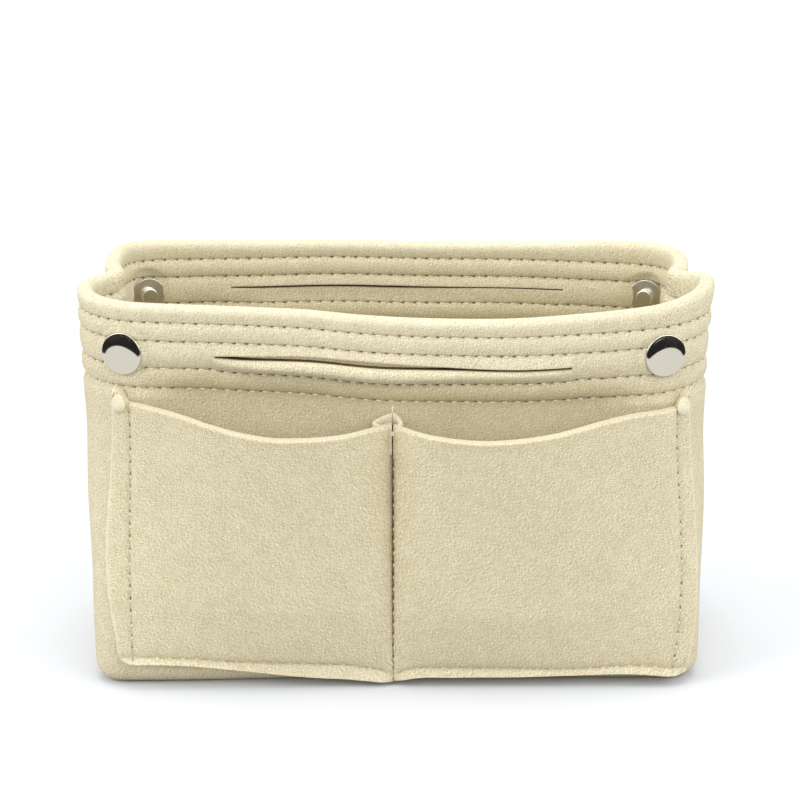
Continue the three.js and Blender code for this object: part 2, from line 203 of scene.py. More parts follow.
def wallPoint(s, v, inset, back):
    # Felt wall: a point at nominal height v and depth inset behind the outer face. The plan is followed
    # at that height, the rim sags, the stitching dents both faces and the lip under the slit rolls out
    s, v, inset = np.broadcast_arrays(*(np.asarray(q, float) for q in (s, v, inset)))
    x0, y0 = planPoint(s - box["nudge"], v, back)
    x1, y1 = planPoint(s + box["nudge"], v, back)
    px, py = planPoint(s, v, back)
    length = np.hypot(x1 - x0, y1 - y0)
    nx, ny = (y1 - y0) / length, -(x1 - x0) / length

    share = np.clip(inset / box["pair"], 0, 1)
    dips = quilting(s, v) * np.where(inset > box["pair"] - box["skin"] / 2, 1, 1 - share)
    dips = np.where((inset > box["skin"]) & (v < box["bandBottom"]), 0, dips) * fade(v, *box["quiltFoot"])
    out = -inset - dips * (1 - 2 * share)
    spans, phases = box["waveSpan"], box["wavePhase"]
    wave = np.sin(s / spans[0] + phases[0]) * np.sin(v / spans[1] + phases[1])
    out = out + box["wave"] * wave * fade(v, *box["waveFoot"]) * (1 - fade(v, *box["waveTop"]))
    ripple = np.sin(s / box["rippleSpan"][0] + v / box["rippleSpan"][1])
    out = out + box["ripple"] * ripple * fade(v, *box["rippleFoot"])
    out = out - (box["backRecess"] if back else 1) * wallRecess(s, v) * (1 - box["innerRecess"] * share)

    face = "back" if back else "front"
    rise = -through(s, sag["places"], sag[face + "Drops"]) * fade(v, *sag["dropStart"])
    rise = rise + through(s, sag["places"], sag[face + "Crowns"]) * fade(v, *sag["crownStart"])
    gape = slitValue(s, "gapes", back)
    rise = rise - gape * fade(v, slit["lipStart"], slit["height"]) * (v < slit["height"])
    if not back:
        drift = np.sin((slit["driftPlace"] - s) / slit["driftSpan"])
        rise = rise + slit["drift"] * drift * bell(v, slit["height"], slit["driftRise"])
    below = (v - box["rows"][2]) / (slit["height"] - box["rows"][2])
    above = (v - slit["height"]) / (box["rows"][1] - slit["height"])
    bulge = np.sin(math.pi / 2 * np.clip(below / slit["bulgeShare"], 0, 1)) * (v < slit["height"])
    out = out + bulge * slitValue(s, "pushes", back)
    strip = np.clip(1 - above, 0, 1) * (v > slit["height"])
    out = out + slit["flare"] * strip * np.clip(gape / slit["flareGape"], 0, 1) * (1 - share)
    out = out + snapPress(s, v, share)
    return np.stack([px + nx * out, py + ny * out, v + rise], -1)


def snapPress(s, v, share):
    # The snaps press the felt flat: inside to the plane of the flange, outside up to the plane of the
    # cap, with a shallow ring around the cap. A round of radius r falls back by across^2 / 2r
    across = (np.abs(s) - snapAlong) * (1 - share * box["pair"] / box["corner"])
    reach = np.hypot(across, v - snap["height"])
    innerFall = across ** 2 / (2 * (box["corner"] - box["pair"]))
    innerRise = np.clip(snap["press"] - innerFall, 0, None) * (1 - fade(reach, *snap["innerPress"]))
    outerRise = across ** 2 / (2 * box["corner"]) * (1 - fade(reach, *snap["outerPress"]))
    outerRise = outerRise - snap["ring"] * bell(reach, snap["ringRadius"], snap["ringWidth"])
    return innerRise * share + outerRise * (1 - share)


def slitValue(s, key, back):
    # Gape of the slit or push of its lower lip: the curve through its places, and 0 beyond its ends
    inside = np.abs(s) <= slit["halfLength"]
    value = np.where(inside, through(s, slit["places"], slit[key]), 0)
    return value * (slit["backShares"][key] if back else 1)


# Meshes

def gridFaces(rows, columns, start=0, flip=False):
    # Four-cornered faces between the neighbouring points of a grid stored row by row
    i, j = np.meshgrid(np.arange(rows - 1), np.arange(columns - 1), indexing="ij")
    a = start + i * columns + j
    faces = np.stack([a, a + 1, a + columns + 1, a + columns], -1).reshape(-1, 4)
    return faces[:, ::-1] if flip else faces


def ringFaces(rings, count):
    # Four-cornered faces between neighbouring closed rings stored ring by ring
    i, j = np.meshgrid(np.arange(rings - 1) * count, np.arange(count), indexing="ij")
    k = (j + 1) % count
    return np.stack([i + j, i + k, i + count + k, i + count + j], -1).reshape(-1, 4).tolist()


def part(points, faces, uv=None, seamAlong=0.0, seamOff=box["noSeam"], tint=0.0, finish=0):
    # One shape of a piece: its points in millimetres, its faces and the values its felt reads
    points = np.asarray(points, float).reshape(-1, 3)
    spread = lambda q: np.broadcast_to(np.asarray(q, float), points.shape[:1]).copy()
    uv = np.zeros((len(points), 2)) if uv is None else np.asarray(uv, float).reshape(-1, 2)
    return {"points": points, "faces": [tuple(int(i) for i in f) for f in faces], "uv": uv, "finish": finish,
            "seamAlong": spread(seamAlong), "seamOff": spread(seamOff), "tint": spread(tint)}


def newObject(name, data):
    # An object for a mesh, light or camera, at the origin and linked to the scene
    made = bpy.data.objects.new(name, data)
    bpy.context.scene.collection.objects.link(made)
    return made


def makePiece(name, shapes, materials, back=False, mirror=False, sharp=50):
    # Joins the shapes into one mesh in metres. back turns it to the other face, mirror to the other side
    points = np.concatenate([q["points"] for q in shapes]) * 0.001
    points[:, 0] *= -1 if mirror else 1
    points[:, 1] *= -1 if back else 1
    faces, finishes, first = [], [], 0
    for q in shapes:
        faces += [tuple(i + first for i in f) for f in q["faces"]]
        finishes += [q["finish"]] * len(q["faces"])
        first += len(q["points"])
    if back != mirror:
        faces = [f[::-1] for f in faces]
    mesh = bpy.data.meshes.new(name)
    mesh.from_pydata(points.tolist(), [], faces)
    for key in ("seamAlong", "seamOff", "tint"):
        values = np.concatenate([q[key] for q in shapes]).astype(np.float32)
        mesh.attributes.new(key, "FLOAT", "POINT").data.foreach_set("value", values)
    corners = np.empty(len(mesh.loops), np.int32)
    mesh.loops.foreach_get("vertex_index", corners)
    uv = np.concatenate([q["uv"] for q in shapes])[corners] * 0.01
    mesh.uv_layers.new(name="UVMap").data.foreach_set("uv", uv.astype(np.float32).ravel())
    for material in materials:
        mesh.materials.append(material)
    mesh.polygons.foreach_set("material_index", np.array(finishes, np.int32))
    mesh.polygons.foreach_set("use_smooth", np.ones(len(faces), bool))
    mesh.set_sharp_from_angle(angle=math.radians(sharp))
    mesh.update()
    piece = newObject(name, mesh)
    return piece


def spaced(start, end, step):
    # Even places from start to end, about step apart
    return np.linspace(start, end, max(2, int(round((end - start) / step)) + 1))


threadShape = {   # rings of a short thread: places along it, shares of its radius, and how far they bow out
    "along": (0, 0.15, 0.5, 0.85, 1.0), "shares": (0.35, 0.95, 1.1, 0.95, 0.35),
    "bows": (-0.25, 0.02, 0.16, 0.02, -0.25), "sides": 5, "finish": 1, "uvLength": 3,
}


def threads(starts, ends, normals, radius, lift):
    # Short sewing threads: a tube of a few rings and sides between two points, bowed outwards, whose
    # radius follows a rounded end
    starts, ends, normals = (np.asarray(q, float).reshape(-1, 3) for q in (starts, ends, normals))
    along, shares, bow = (np.array(threadShape[key]) for key in ("along", "shares", "bows"))
    radii, bow, sides = radius * shares, bow + lift, threadShape["sides"]
    axis = ends - starts
    cross = np.cross(normals, axis)
    cross /= np.linalg.norm(cross, axis=1, keepdims=True)
    centre = starts[:, None] + axis[:, None] * along[None, :, None] + normals[:, None] * bow[None, :, None]
    turn = np.arange(sides) * 2 * math.pi / sides
    ring = cross[:, None, None] * np.cos(turn)[None, None, :, None]
    ring = ring + normals[:, None, None] * np.sin(turn)[None, None, :, None]
    points = centre[:, :, None] + ring * radii[None, :, None, None]
    count = len(along) * sides
    faces = [tuple(range(sides))[::-1]] + ringFaces(len(along), sides) + [tuple(range(count - sides, count))]
    every = [tuple(i + count * n for i in f) for n in range(len(starts)) for f in faces]
    uv = np.stack([along * threadShape["uvLength"], along * 0], -1)[None, :, None]
    uv = np.broadcast_to(uv, points.shape[:3] + (2,))
    return part(points, every, uv, finish=threadShape["finish"])


def lathe(profile, steps=72):
    # Profile of (radius, height) turned round the height axis, its poles closed by fans of triangles
    turn = np.arange(steps) * 2 * math.pi / steps
    points, rings, faces, count = [], [], [], 0
    for radius, height in np.array(profile, float):
        angles = turn if radius > 1e-6 else turn[:1]
        ring = [radius * np.cos(angles), angles * 0 + height, radius * np.sin(angles)]
        points.append(np.column_stack(ring))
        rings.append((count + np.arange(steps) * (len(angles) > 1)).tolist())
        count += len(angles)
    for low, high in zip(rings[:-1], rings[1:]):
        for j in range(steps):
            k = (j + 1) % steps
            faces.append(tuple(dict.fromkeys([low[j], high[j], high[k], low[k]])))
    return np.concatenate(points), [f for f in faces if len(f) > 2]


def outwards(points, faces):
    # Turns the faces of a closed shape outwards: its signed volume, summed over the fans, must be positive
    fans = np.array([(f[0], f[k], f[k + 1]) for f in faces for k in range(1, len(f) - 1)])
    a, b, c = points[fans].transpose(1, 0, 2)
    return [tuple(f)[::-1] for f in faces] if np.sum(a * np.cross(b, c)) < 0 else [tuple(f) for f in faces]


# Materials

class Wire:
    # One output socket. Sums and products of wires and plain numbers add Math nodes
    def __init__(self, tree, socket):
        self.tree, self.socket = tree, socket

    def add(self, kind, settings, values, output=0):
        # A node of this kind: its settings first, then a value or a wire for each named input
        node = self.tree.nodes.new(kind)
        for key, value in settings.items():
            setattr(node, key, value)
        for key, value in values.items():
            if isinstance(value, Wire):
                self.tree.links.new(value.socket, node.inputs[key])
            else:
                node.inputs[key].default_value = value
        return Wire(self.tree, node.outputs[output])

    def math(self, operation, a, b=0.0):
        return self.add("ShaderNodeMath", {"operation": operation}, {0: a, 1: b})

    def __add__(self, other):
        return self.math("ADD", self, other)

    __radd__ = __add__

    def __sub__(self, other):
        return self.math("SUBTRACT", self, other)

    def __rsub__(self, other):
        return self.math("SUBTRACT", other, self)

    def __mul__(self, other):
        return self.math("MULTIPLY", self, other)

    __rmul__ = __mul__

    def __truediv__(self, other):
        return self.math("DIVIDE", self, other)

    def ramp(self, low, high, start=0.0, end=1.0):
        # Smooth step of this value from low to high, giving start to end
        limits = {0: self, 1: low, 2: high, 3: start, 4: end}
        return self.add("ShaderNodeMapRange", {"interpolation_type": "SMOOTHSTEP"}, limits)

    def noise(self, scale, detail=2.0, roughness=0.5, stretch=(1, 1, 1), turn=0.0):
        # Noise on this vector, stretched and turned first
        settings = {"Vector": self, "Rotation": (0, 0, turn), "Scale": stretch}
        place = self.add("ShaderNodeMapping", {"vector_type": "TEXTURE"}, settings)
        return self.add("ShaderNodeTexNoise", {}, {
            "Vector": place, "Scale": scale, "Detail": detail, "Roughness": roughness,
        })

    def blend(self, first, second):
        # Colour between first and second, this value being the share of the second
        return self.add("ShaderNodeMix", {"data_type": "RGBA"}, {0: self, 6: first, 7: second}, 2)


def newMaterial(name, settings, space="UV"):
    # A material with these fixed values in its shader, and a wire for the coordinates of that space
    material = bpy.data.materials.new(name)
    material.use_nodes = True
    tree = material.node_tree
    shader = tree.nodes["Principled BSDF"]
    for key, value in settings.items():
        shader.inputs[key].default_value = value
    return material, tree, shader, Wire(tree, tree.nodes.new("ShaderNodeTexCoord").outputs[space])


def named(wire, name):
    # The mesh attribute of this name as a number
    return wire.add("ShaderNodeAttribute", {"attribute_name": name}, {}, 2)


def connect(tree, wire, shader, socket):
    # Leads a wire into a named input of the shader
    tree.links.new(wire.socket, shader.inputs[socket])


nap = math.radians(48)   # the way the felt is brushed

feltLook = {
    "colour": (0.734, 0.668, 0.452, 1), "tone": 1.0,
    # foldTone, hole and deep are painted shade: in the fold of each stitched row, in the needle holes and
    # deep inside the slit
    "dark": (0.685, 0.642, 0.52), "pale": (1.256, 1.304, 1.471), "warm": (1.12, 0.94, 1.02), "foldTone": 0.52,
    "hole": (0.13, 0.105, 0.055, 1), "deep": (0.13, 0.09, 0.035, 1),
    "noises": {   # scale, detail, roughness, stretch and turn
        "streaks": (460, 1.0, 0.6, (1.0, 3.4, 1), nap), "grain": (520, 1.0, 0.6), "specks": (360, 0.0, 0.5),
        "patches": (34, 2.0, 0.6, (1.0, 1.7, 1), nap), "clouds": (8, 2.0, 0.5), "hue": (70, 1.0, 0.5),
        "uneven": (16, 1.0, 0.5),
    },
    "middle": 0.45, "shares": {"streaks": 3.9, "grain": 2.8, "patches": 0.55, "clouds": 0.25, "specks": 0.45},
    "speckFrom": (0.68, 0.84), "smooth": 0.45, "smoothAt": 0.3, "hueFrom": (0.35, 0.65), "hueShare": 0.10,
    "holeWide": 0.62, "holeHigh": 0.30, "holeShare": 0.78, "holeEdge": (0.55, 1.3), "unevenFrom": (0.3, 0.62),
    "unevenSizes": (0.55, 1.15), "fold": 0.22, "foldFrom": (0.05, 0.9),
    "deepFrom": (0.3, 1.0), "deepShare": 0.9,
    "heights": {"streaks": 0.9, "grain": 0.8, "patches": 0.6, "specks": 0.3, "hole": -0.9},
    "sheen": 0.12, "roughness": 0.93, "rubbed": 0.12, "bump": 0.36, "bumpDepth": 0.0004,
}


def scaled(colour, factor):
    # The colour times one number, or each channel times its own
    return tuple(min(1.0, q * f) for q, f in zip(colour[:3], np.broadcast_to(factor, 3).tolist())) + (1,)


def makeFelt(name, look):
    # Needled felt: its level between dark and pale is middle + smoother * (streaks, grain and specks) +
    # patches and broad clouds + tint, where smoother calms the places with a pale tint. The tint carries
    # painted light and shade among its tones. The seam attributes draw the needle holes, as ellipses, and the
    # darker fold of every row of stitching, both painted shade, and a tint far below 0 is painted deep shade
    material, tree, shader, uv = newMaterial(name, {
        "Sheen Weight": look["sheen"], "Sheen Roughness": 0.5, "Sheen Tint": (1, 0.97, 0.9, 1),
        "Specular IOR Level": 0.2,
    })
    noise = {key: uv.noise(*settings) for key, settings in look["noises"].items()}
    specks = noise["specks"] = noise["specks"].ramp(*look["speckFrom"])
    spread = {key: share * (noise[key] - 0.5) for key, share in look["shares"].items() if key != "specks"}
    tint = named(uv, "tint")
    smoother = tint.ramp(0.0, look["smoothAt"], 1.0, look["smooth"])
    level = smoother * (spread["streaks"] + spread["grain"] + look["shares"]["specks"] * specks)
    level = look["middle"] + level + spread["patches"] + spread["clouds"] + tint
    colour = scaled(look["colour"], look["tone"])
    shade = level.blend(scaled(colour, look["dark"]), scaled(colour, look["pale"]))
    hue = look["hueShare"] * noise["hue"].ramp(*look["hueFrom"])
    shade = hue.blend(shade, scaled(colour, look["warm"]))
    along, off = named(uv, "seamAlong"), named(uv, "seamOff")
    phase = uv.math("FRACT", along / box["pitch"]) - 0.5
    uneven = noise["uneven"].ramp(*look["unevenFrom"], *look["unevenSizes"])
    wide, high = phase * (box["pitch"] / look["holeWide"]), off / look["holeHigh"]
    hole = (uv.math("SQRT", wide * wide + high * high) / uneven).ramp(*look["holeEdge"], 1.0, 0.0)
    # Painted shade: the fold of every stitched row, the needle holes, and deep shade where the tint falls far
    # below 0
    fold = off.ramp(*look["foldFrom"], look["fold"], 0.0)
    shade = fold.blend(shade, scaled(colour, look["foldTone"]))
    shade = (hole * look["holeShare"]).blend(shade, look["hole"])
    shade = (0 - tint).ramp(*look["deepFrom"], 0.0, look["deepShare"]).blend(shade, look["deep"])
    connect(tree, shade, shader, "Base Color")
    connect(tree, look["roughness"] - look["rubbed"] * (noise["grain"] - 0.5), shader, "Roughness")
    noise["hole"] = hole
    height = sum(noise[key] * share for key, share in look["heights"].items())
    bump = uv.add("ShaderNodeBump", {}, {
        "Height": height, "Strength": look["bump"], "Distance": look["bumpDepth"],
    })
    connect(tree, bump, shader, "Normal")
    return material


threadLook = {
    "plies": (60, 1.0, 0.5, (1, 0.2, 1), math.radians(35)), "roughness": 0.62, "rubbed": 0.1,
    "dark": (0.80, 0.745, 0.565, 1), "pale": (0.93, 0.885, 0.72, 1),
}


def makeThread(look):
    # Spun sewing thread: fine twisted plies along its length
    material, tree, shader, uv = newMaterial("sewingThread", {"Specular IOR Level": 0.3})
    plies = uv.noise(*look["plies"])
    connect(tree, plies.blend(look["dark"], look["pale"]), shader, "Base Color")
    connect(tree, look["roughness"] + look["rubbed"] * plies, shader, "Roughness")
    return material


nickelLooks = {
    "polishedNickel": {"colour": (0.60, 0.56, 0.455, 1), "roughness": 0.06},
    "satinNickel": {"colour": (0.70, 0.68, 0.63, 1), "roughness": 0.24},
    "rub": (900, 3.0, 0.6), "haze": (160, 1.0, 0.5), "tones": (0.93, 1.04),
    "rubShare": 0.07, "hazeShare": 0.05,
}


def makeNickel(name):
    # Nickel plate with faint rubbing marks in its colour and roughness
    look = dict(nickelLooks, **nickelLooks[name])
    material, tree, shader, place = newMaterial(name, {"Metallic": 1.0}, "Object")
    rub, haze = place.noise(*look["rub"]), place.noise(*look["haze"])
    dark, pale = (scaled(look["colour"], tone) for tone in look["tones"])
    connect(tree, rub.blend(dark, pale), shader, "Base Color")
    roughness = look["roughness"] + look["rubShare"] * rub + look["hazeShare"] * (haze - 1)
    connect(tree, roughness, shader, "Roughness")
    return material


felt = makeFelt("needledFelt", feltLook)
boardFelt = makeFelt("boardFelt", dict(feltLook, sheen=0.04, tone=0.86))
thread = makeThread(threadLook)
capNickel, snapNickel = makeNickel("polishedNickel"), makeNickel("satinNickel")
print("materials made")

# Wall shells and side pieces

wallGrid = {
    "footSteps": 7, "rollSteps": 12, "lowStep": 2.2, "bandStep": 0.62, "fineFrom": 92,
    "columnStep": 0.7, "sideStep": 0.66, "lipSteps": 7, "apart": 0.24, "endGap": 0.12,
    "rowMarks": (-0.45, 0, 0.45), "lipMarks": (0.1, 0.3, 0.65, 1.15, 1.8, 2.5), "lipClear": 2.6,
    "bandMarks": (-0.8, -0.4, 0, 0.3), "bandSlope": (-0.9, 0.35),
    "innerUv": 400.0, "innerFrom": 3.2, "lipUv": 200.0,   # where the inner face and the lips lie on the map
}

wallPaintedShading = {   # painted light above 0 and painted shade below 0, with the heights or places where it holds
    "rim": 0.12, "rimWidth": 4.0, "upper": 0.10, "upperFrom": (107, 116),
    "lower": 0.42, "lowerHeight": 102.5, "lowerWidth": 6.5, "lowerEnds": (66, 92),
    "lip": -1.3, "lipFrom": (0.05, 0.35),
}


def wallProfile():
    # Closed section of the wall: outer face from the foot's round to the rim, the half round of the rim,
    # then the turned-in band and the bare inner face down again. Both faces share their heights
    turn = np.linspace(math.pi / 2, 0, wallGrid["footSteps"] + 1)[:-1]
    radius, thick, half = box["footRound"], box["felt"], box["pair"] / 2
    top = box["height"] - half
    low = spaced(radius, wallGrid["fineFrom"], wallGrid["lowStep"])
    fine = spaced(wallGrid["fineFrom"], top, wallGrid["bandStep"])
    marks = [row + shift for row in box["rows"] for shift in wallGrid["rowMarks"]]
    marks += [slit["height"] + side * shift for side in (-1, 1) for shift in wallGrid["lipMarks"]]
    marks += [box["bandBottom"] + shift for shift in wallGrid["bandMarks"]]
    keep = np.min(np.abs(fine[:, None] - np.array(marks)[None]), axis=1) > wallGrid["apart"]
    keep &= np.abs(fine - slit["height"]) > wallGrid["lipClear"]
    heights = np.unique(np.round(np.concatenate([low, fine[keep], marks, [top]]), 4))
    heights = heights[heights <= top]
    slope = [box["bandBottom"] + shift for shift in wallGrid["bandSlope"]]
    outerInset = np.concatenate([radius - radius * np.cos(turn), heights * 0])
    outerHeight = np.concatenate([radius - radius * np.sin(turn), heights])
    inner = radius - thick
    bandEdge = (box["pair"] - thick) * fade(heights, *slope)
    innerInset = np.concatenate([radius - inner * np.cos(turn), thick + bandEdge])
    innerHeight = np.concatenate([radius - inner * np.sin(turn), heights])
    bend = np.linspace(0, math.pi, wallGrid["rollSteps"] + 1)[1:-1]
    insets = np.concatenate([outerInset, half - half * np.cos(bend), innerInset[::-1]])
    levels = np.concatenate([outerHeight, top + half * np.sin(bend), innerHeight[::-1]])
    return insets, levels, len(outerHeight)


def seamDistance(v, inset):
    # Unsigned distance to the nearest row of stitching, none on the bare inner face
    off = np.min(np.abs(v[:, None] - np.array(box["rows"])[None]), axis=1)
    bare = (inset > box["skin"]) & (v < box["bandBottom"])
    return np.where(bare, box["noSeam"], off)


def lipRounding(columns, insets, levels, gape, back):
    # How far both faces draw in at the slit: r * (1 - sqrt(1 - turned q^2)), where q grows to 1 at the lip.
    # The outer face of the lower lip has a larger r, because it is rolled out
    rolled = (levels < slit["height"]) & (insets < box["felt"])
    curl = slit["curl"] + slit["roll"] * np.clip(slitValue(columns, "pushes", back) / slit["fullPush"], 0, 1)
    radius = np.where(rolled[:, None], curl[None], slit["crisp"])
    near = np.clip(1 - np.abs(levels - slit["height"])[:, None] / radius, 0, 1)
    return radius * (1 - np.sqrt(1 - near ** 2 * slit["turned"])) * fade(gape, *slit["openFrom"])[None]


def endFaces(total, width):
    # Closes both ends of the wall's section: a ladder of faces between its outer and inner points
    k, middle = np.arange(total // 2 - 1), total // 2
    faces = []
    for column, flip in ((0, False), (width - 1, True)):
        rows = np.stack([k, k + 1, total - 2 - k, total - 1 - k], -1)
        ladder = (rows * width + column).tolist()
        if total % 2:
            ladder.append([(middle + step) * width + column for step in (-1, 0, 1)])
        faces += [f[::-1] if flip else f for f in ladder]
    return faces


def slitLips(points, gape, outerLow, run):
    # Strips across the felt of both lips, from the outer to the inner face, with a groove between the two
    # layers: -groove * bell + belly * sin, and the faces that close the slit's ends
    total, width = points.shape[:2]
    first, last = run
    count, steps = last - first + 1, wallGrid["lipSteps"]
    share = np.linspace(0, 1, steps + 1)[1:-1]
    groove = slit["belly"] * np.sin(math.pi * share) - slit["groove"] * bell(share, 0.5, slit["grooveWidth"])
    groove = groove[:, None] * fade(gape[first:last + 1], *slit["grooveFrom"])[None]
    sheets, faces, ladders = [], [], []
    for lip in (0, 1):
        outerRow = outerLow + lip
        innerRow = total - 1 - outerRow
        outer, inner = points[outerRow, first:last + 1], points[innerRow, first:last + 1]
        sheet = outer[None] + (inner - outer)[None] * share[:, None, None]
        sheet[..., 2] += groove * (1 if lip == 0 else -1)
        sheets.append(sheet.reshape(-1, 3))
        own = total * width + (lip * len(share) + np.arange(len(share))[:, None]) * count + np.arange(count)
        edges = [row * width + np.arange(first, last + 1)[None] for row in (outerRow, innerRow)]
        rows = np.concatenate([edges[0], own, edges[1]])
        quads = np.stack([rows[:-1, :-1], rows[:-1, 1:], rows[1:, 1:], rows[1:, :-1]], -1).reshape(-1, 4)
        faces += (quads if lip == 0 else quads[:, ::-1]).tolist()
        ladders.append(rows)
    for column, flip in ((0, False), (count - 1, True)):
        low, high = ladders[0][:, column], ladders[1][:, column]
        quads = np.stack([low[:-1], low[1:], high[1:], high[:-1]], -1)
        faces += (quads[:, ::-1] if flip else quads).tolist()
    return np.concatenate(sheets), faces, share


def wallShell(columns, back, cutSlit):
    # The section carried along the outline and closed at both ends. Where the slit runs, the faces between
    # its two rows are left out and the strips of both lips take their place
    insets, levels, count = wallProfile()
    total, width = len(insets), len(columns)
    gape = slitValue(columns, "gapes", back)
    rounding = lipRounding(columns, insets, levels, gape, back) if cutSlit else 0.0
    depth = insets[:, None] + rounding * np.where(insets[:, None] > box["felt"], -1, 1)
    points = wallPoint(columns[None], levels[:, None], depth, back)
    j = np.arange(width - 1)
    start = (total - 1) * width
    faces = gridFaces(total, width).tolist() + np.stack([start + j, start + j + 1, j + 1, j], -1).tolist()
    across = columns[None] + wallGrid["innerUv"] * (insets[:, None] > wallGrid["innerFrom"])
    uv = np.stack(np.broadcast_arrays(across, levels[:, None]), -1).reshape(-1, 2)
    off = np.repeat(seamDistance(levels, insets), width)
    # Painted light makes the rim and upper rows paler, painted shade the lower rows darker in the middle
    pale = wallPaintedShading["rim"] * bell(levels, box["height"] + 1, wallPaintedShading["rimWidth"])
    pale = pale + wallPaintedShading["upper"] * fade(levels, *wallPaintedShading["upperFrom"])
    dark = wallPaintedShading["lower"] * bell(levels, wallPaintedShading["lowerHeight"], wallPaintedShading["lowerWidth"])[:, None]
    tint = (pale[:, None] - dark * (1 - fade(np.abs(columns), *wallPaintedShading["lowerEnds"]))[None]).ravel()
    if cutSlit:
        inside = np.where(np.abs(columns) <= slit["halfLength"] + 1e-6)[0]
        first, last = inside[0], inside[-1]
        outerLow = int(np.searchsorted(levels[:count], slit["height"])) - 1
        gone = {row * width + k for row in (outerLow, total - 2 - outerLow) for k in range(first, last)}
        faces = [f for k, f in enumerate(faces) if not (k < (total - 1) * (width - 1) and f[0] in gone)]
        extra, lipFaces, share = slitLips(points, gape, outerLow, (first, last))
        faces += lipFaces
        extraU = np.tile(columns[first:last + 1], 2 * len(share))
        extraV = np.repeat(np.arange(2 * len(share)) + wallGrid["lipUv"], len(inside))
        points = np.concatenate([points.reshape(-1, 3), extra])
        uv = np.concatenate([uv, np.stack([extraU, extraV], -1)])
        off = np.concatenate([off, extraU * 0 + box["noSeam"]])
        # Painted shade deep inside the slit: the lips' cut faces darken away from the outer face
        lipPaintedShade = np.repeat(wallPaintedShading["lip"] * fade(share, *wallPaintedShading["lipFrom"]), len(inside))
        tint = np.concatenate([tint, lipPaintedShade, lipPaintedShade])
    # The section's end faces come last, as ladders
    faces += endFaces(total, width)
    along = np.concatenate([np.tile(columns, total), uv[total * width:, 0]])
    return part(points, faces, uv, along, off, tint)


rowThread = {"start": 0.5, "end": 2.3, "drop": 0.15, "radius": 0.26, "lift": 0.02}   # beside a needle hole


def rowThreads(start, end, back):
    # A thread between each pair of needle holes on both faces of every stitched row
    pitch, middle = box["pitch"], (rowThread["start"] + rowThread["end"]) / 2
    holes = (np.arange(math.ceil(start / pitch - 0.5), math.floor(end / pitch - 0.5)) + 0.5) * pitch
    starts, ends, normals = [], [], []
    for row in box["rows"]:
        for inset, step in ((0.0, 1), (box["pair"], -1)):
            for made, key in ((starts, "start"), (ends, "end")):
                made.append(wallPoint(holes + rowThread[key], row - rowThread["drop"], inset, back))
            normal = wallPoint(holes + middle, row, inset, back)
            normal = normal - wallPoint(holes + middle, row, inset + step, back)
            normals.append(normal / np.linalg.norm(normal, axis=1, keepdims=True))
    starts, ends, normals = (np.concatenate(q) for q in (starts, ends, normals))
    return threads(starts, ends, normals, rowThread["radius"], rowThread["lift"])


blendPlaces = {   # in metres: places at the foot, and across the wall on the way to the crease
    "foot": ((0, 0, 0.0025), (0, 0, 0.0065)), "across": 0.095, "corner": 0.030, "crease": 0, "height": 0.06,
}


def makeWalls():
    # The middle of each long wall is one piece, and what runs on to each crease is another
    end = box["shellEnd"]
    stops = (-end, -slit["halfLength"], slit["halfLength"], end)
    middle = [spaced(a, b, wallGrid["columnStep"]) for a, b in zip(stops[:-1], stops[1:])]
    middle = np.unique(np.round(np.concatenate(middle), 5))
    side = spaced(end, outlineLength - wallGrid["endGap"], wallGrid["sideStep"])
    for face, back in (("front", False), ("back", True)):
        wall = makePiece(f"{face}WallFelt", [wallShell(middle, back, True), rowThreads(-end, end, back)],
                         [felt, thread], back)
        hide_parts(f"{face}_panel", f"{face}_rim_band")
        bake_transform(wall)
        for name, sign in (("left", -1), ("right", 1)):
            columns = side if sign > 0 else -side[::-1]
            shapes = [wallShell(columns, back, False), rowThreads(columns[0], columns[-1], back)]
            piece = makePiece(f"{name}{face.title()}SideFelt", shapes, [felt, thread], back)
            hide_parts(f"{name}_gusset_{face}", f"{name}_gusset_{face}_band")
            across, height = sign * blendPlaces["across"], blendPlaces["height"]
            depths = (blendPlaces[key] * (1 if back else -1) for key in ("corner", "crease"))
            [(across, depth, height) for depth in depths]
            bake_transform(piece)
    print("walls made")


makeWalls()

# Floor panel and base board

floorPlan = {
    "inset": 6.8, "level": 2.0, "thickness": 3.0, "round": 0.5, "step": 1.2,
    "boardInset": 9.7, "boardThickness": 2.0, "boardRound": 0.6,
    "notchDepth": 10.0, "notchSpan": 16.0, "notchGap": 2.0, "notchStretch": 1.6, "leftShorter": 1.0,
}


def roundedPlate(edge, bottom, top, radius, steps=9):
    # Flat plate inside a closed plan line: rings shrink towards the middle on both faces and follow a
    # rounded edge between them
    centre = edge.mean(axis=0)
    step = np.roll(edge, -1, axis=0) - np.roll(edge, 1, axis=0)
    normal = np.stack([step[:, 1], -step[:, 0]], -1)
    normal /= np.linalg.norm(normal, axis=1, keepdims=True)
    bend = np.linspace(-math.pi / 2, math.pi / 2, steps)
    sides = [(edge + normal * radius * (math.cos(b) - 1), (bottom + radius if b < 0 else top - radius)
              + radius * math.sin(b)) for b in bend]
    shrink = np.linspace(0, 1, steps)[1:-1]
    inner = edge - normal * radius
    under = [(centre + (inner - centre) * q, bottom) for q in shrink]
    over = [(centre + (inner - centre) * q, top) for q in shrink[::-1]]
    rows = under + sides + over
    count = len(edge)
    points = np.concatenate([np.column_stack([p, np.full(count, z)]) for p, z in rows])
    points = np.concatenate([points, [[*centre, bottom], [*centre, top]]])
    faces = ringFaces(len(rows), count)
    last = (len(rows) - 1) * count
    faces += [[(i + 1) % count, i, last + count] for i in range(count)]
    faces += [[last + i, last + (i + 1) % count, last + count + 1] for i in range(count)]
    return part(points, faces, points[:, :2])


def insetHalf(plan, inset):
    # Half a plan line moved inwards by inset along its normal
    s = spaced(-outlineLength, outlineLength, floorPlan["step"])
    (x0, y0), (x1, y1), (x, y) = (plan(s + shift) for shift in (-box["nudge"], box["nudge"], 0))
    length = np.hypot(x1 - x0, y1 - y0)
    return np.column_stack([x - (y1 - y0) / length * inset, y + (x1 - x0) / length * inset])


